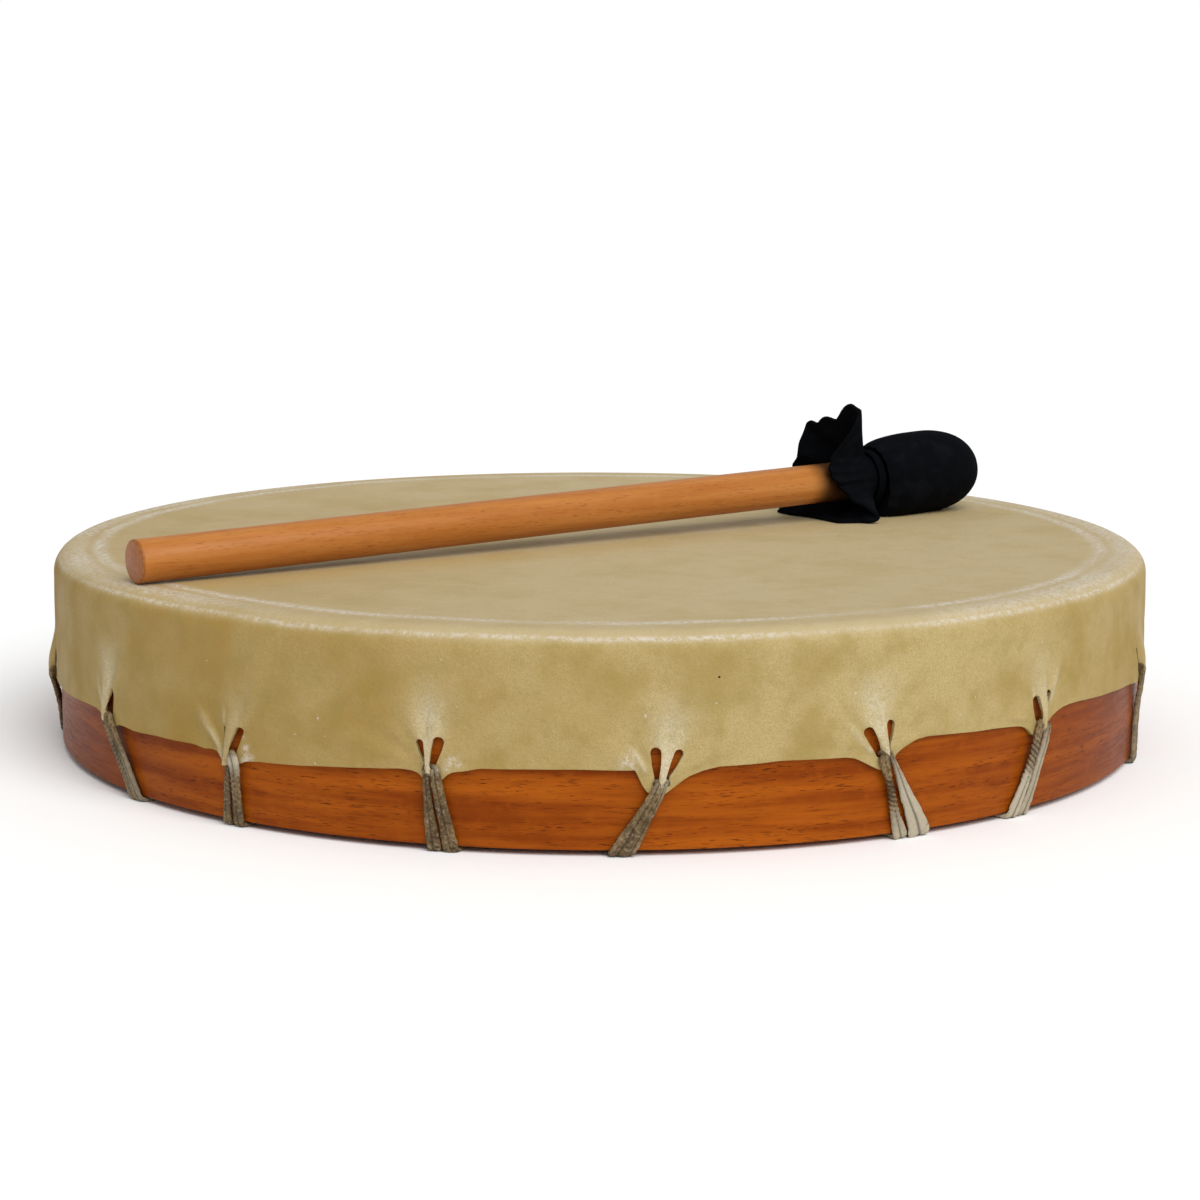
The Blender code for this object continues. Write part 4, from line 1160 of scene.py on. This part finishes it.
# The beater's head. A tight ball of stuffing in a square of soft black suede, which is
# gathered round the dowel with a lace; the corners stand out behind it like a ruff.
NECK_RADIUS = 0.0100
BULB_SHOULDER = 0.0120
BULB_SAG = 0.0032
SOCKET_RADIUS = 0.0079
SOCKET_SHARE = 0.14
PLEATS = 17
PLEAT_DEPTH = 0.0005
SUEDE_THICKNESS = 0.0011
GATHER_RADIUS = 0.0093
TIE_WIDTH = 0.0042
# The ruff's rim, round from straight up: a turn, how far it stands out, how far back it lies
RUFF_RIM = ((-20.0, 0.0295, 0.0078), (-8.0, 0.0308, 0.0068), (9.0, 0.0252, 0.0092),
            (27.0, 0.0250, 0.0108), (43.0, 0.0286, 0.0110), (64.0, 0.0235, 0.0142),
            (84.0, 0.0270, 0.0124), (104.0, 0.0225, 0.0192), (124.0, 0.0272, 0.0232),
            (150.0, 0.0180, 0.0212), (180.0, 0.0155, 0.0207), (212.0, 0.0200, 0.0207),
            (230.0, 0.0235, 0.0122), (240.0, 0.0245, 0.0077), (256.0, 0.0150, 0.0170),
            (272.0, 0.0118, 0.0200), (300.0, 0.0112, 0.0225), (322.0, 0.0130, 0.0205),
            (340.0, 0.0295, 0.0078))
bulb_start = neck_end + TIE_WIDTH
bulb_length = HEAD_LENGTH - TIE_WIDTH
rest_level = hide_top + REST_GAP


def beater_point(along, out, turn):
    """A point round the beater's axis; what would sink into the drumhead lies flat on it."""
    point = beater_place @ Vector((along, out * math.sin(turn), out * math.cos(turn)))
    point.z = max(point.z, rest_level)
    return point


def bulb_point(share, turn):
    """From the bottom of the socket, back along it to the neck, then over to the tip."""
    if share < SOCKET_SHARE:
        depth = (HANDLE_LENGTH - bulb_start) * (1.0 - share / SOCKET_SHARE)
        return beater_point(bulb_start + depth + 0.0004, SOCKET_RADIUS, turn)
    share = (share - SOCKET_SHARE) / (1.0 - SOCKET_SHARE)
    along = bulb_length * share
    offset = abs(share - 0.5) * 2.0
    if share < 0.5:
        out = blend(BULB_SHOULDER, HEAD_RADIUS, math.cos(math.radians(90.0 * offset)) ** 0.45)
    else:
        out = HEAD_RADIUS * max(0.0, 1.0 - offset ** 2.5) ** 0.50
    gather = PLEAT_DEPTH * (1.0 - soft_step(share, 0.0, 0.35))
    out += gather * (0.5 + 0.5 * math.cos(PLEATS * turn + 2.0 * math.sin(2.0 * turn))) - gather
    out *= 1.0 + 0.012 * noise.noise(Vector((share * 3.0, math.sin(turn), math.cos(turn))) * 2.0)
    out += BULB_SAG * max(0.0, -math.cos(turn)) * (1.0 - soft_step(share, 0.05, 0.5))
    return beater_point(bulb_start + along, out, turn)


def ruff_rim(turn):
    """How far out and how far back the ruff's rim lies at a turn."""
    here = (math.degrees(turn) - RUFF_RIM[0][0]) % 360.0 + RUFF_RIM[0][0]
    for before, after in zip(RUFF_RIM, RUFF_RIM[1:]):
        if here <= after[0]:
            share = soft_step(here, before[0], after[0])
            return blend(before[1], after[1], share), blend(before[2], after[2], share)


def ruff_point(share, turn):
    """From under the lace (0) to the rim (1)."""
    opened = max(0.0, (share - 0.2) / 0.8)
    reach, back = ruff_rim(turn)
    out = blend(GATHER_RADIUS, reach, opened ** 1.15)
    fold = PLEAT_DEPTH * 1.4 * opened * math.cos(PLEATS * turn + 1.3 * math.sin(turn))
    curl = 0.0012 * opened * noise.noise(Vector((3.0 * math.sin(turn), 3.0 * math.cos(turn),
                                                 3.0 * share)))
    along = bulb_start - TIE_WIDTH * min(1.0, share / 0.2) - back * opened ** 0.85
    return beater_point(along - curl, out + fold + curl, turn)


head_shape = bmesh.new()
for vertex, share, turn in straight_bar(head_shape, 96, 64):
    vertex.co = bulb_point(share, turn)
tip = [vertex for vertex in head_shape.verts
       if (beater_place.inverted() @ vertex.co).x > neck_end + HEAD_LENGTH * 0.9999]
bmesh.ops.remove_doubles(head_shape, verts=tip, dist=0.0002)

ruff_shape = bmesh.new()
for vertex, share, turn in straight_bar(ruff_shape, 144, 18, capped=False):
    vertex.co = ruff_point(share, turn)
bmesh.ops.recalc_face_normals(ruff_shape, faces=ruff_shape.faces)
bmesh.ops.solidify(ruff_shape, geom=ruff_shape.faces[:], thickness=SUEDE_THICKNESS)
for vertex in ruff_shape.verts:
    vertex.co.z = max(vertex.co.z, rest_level)
ruff_mesh = bpy.data.meshes.new("ruff")
ruff_shape.to_mesh(ruff_mesh)
ruff_shape.free()
head_shape.from_mesh(ruff_mesh)
bpy.data.meshes.remove(ruff_mesh)
bmesh.ops.recalc_face_normals(head_shape, faces=head_shape.faces)

SUEDE_BLACK = (0.0022, 0.0026, 0.0036, 1.0)
SUEDE_SCUFFED = (0.0050, 0.0056, 0.0072, 1.0)


def make_suede():
    material, tree, shader, coordinates = new_material("black suede")
    nap = noise_over(tree, coordinates, 2600.0, 3.0, 0.7)
    strokes = noise_over(tree, coordinates, 150.0, 4.0, 0.6)
    tone = mixed(tree, ramp(tree, strokes, 0.45, 0.75), SUEDE_BLACK, SUEDE_SCUFFED)
    dress(tree, shader, tone, ramp(tree, strokes, 0.3, 0.7, 0.86, 0.96), nap,
          strength=0.5, depth=0.0003, shine=0.03)
    return material


suede = make_suede()
beater_head = make_piece(head_shape, "suede_bulb", suede, ["beater_head"],
                         crease=60.0)


# The tie. A thin black lace, wound tightly round the gathered neck between the bulb and
# the ruff, which holds the suede to the dowel.
TIE_TURNS = 3
LACE_RADIUS = 0.0006
tie_shape = bmesh.new()


def lace_point(share, turn):
    wound = math.tau * TIE_TURNS * share
    along = blend(neck_end + LACE_RADIUS, bulb_start - LACE_RADIUS, share)
    out = NECK_RADIUS + LACE_RADIUS * (0.9 + math.cos(turn))
    return beater_point(along + LACE_RADIUS * math.sin(turn), out, wound)


for vertex, share, turn in straight_bar(tie_shape, 10, TIE_TURNS * 48):
    vertex.co = lace_point(share, turn)
bmesh.ops.recalc_face_normals(tie_shape, faces=tie_shape.faces)
make_piece(tie_shape, "suede_tie", suede, ["beater_tie"])
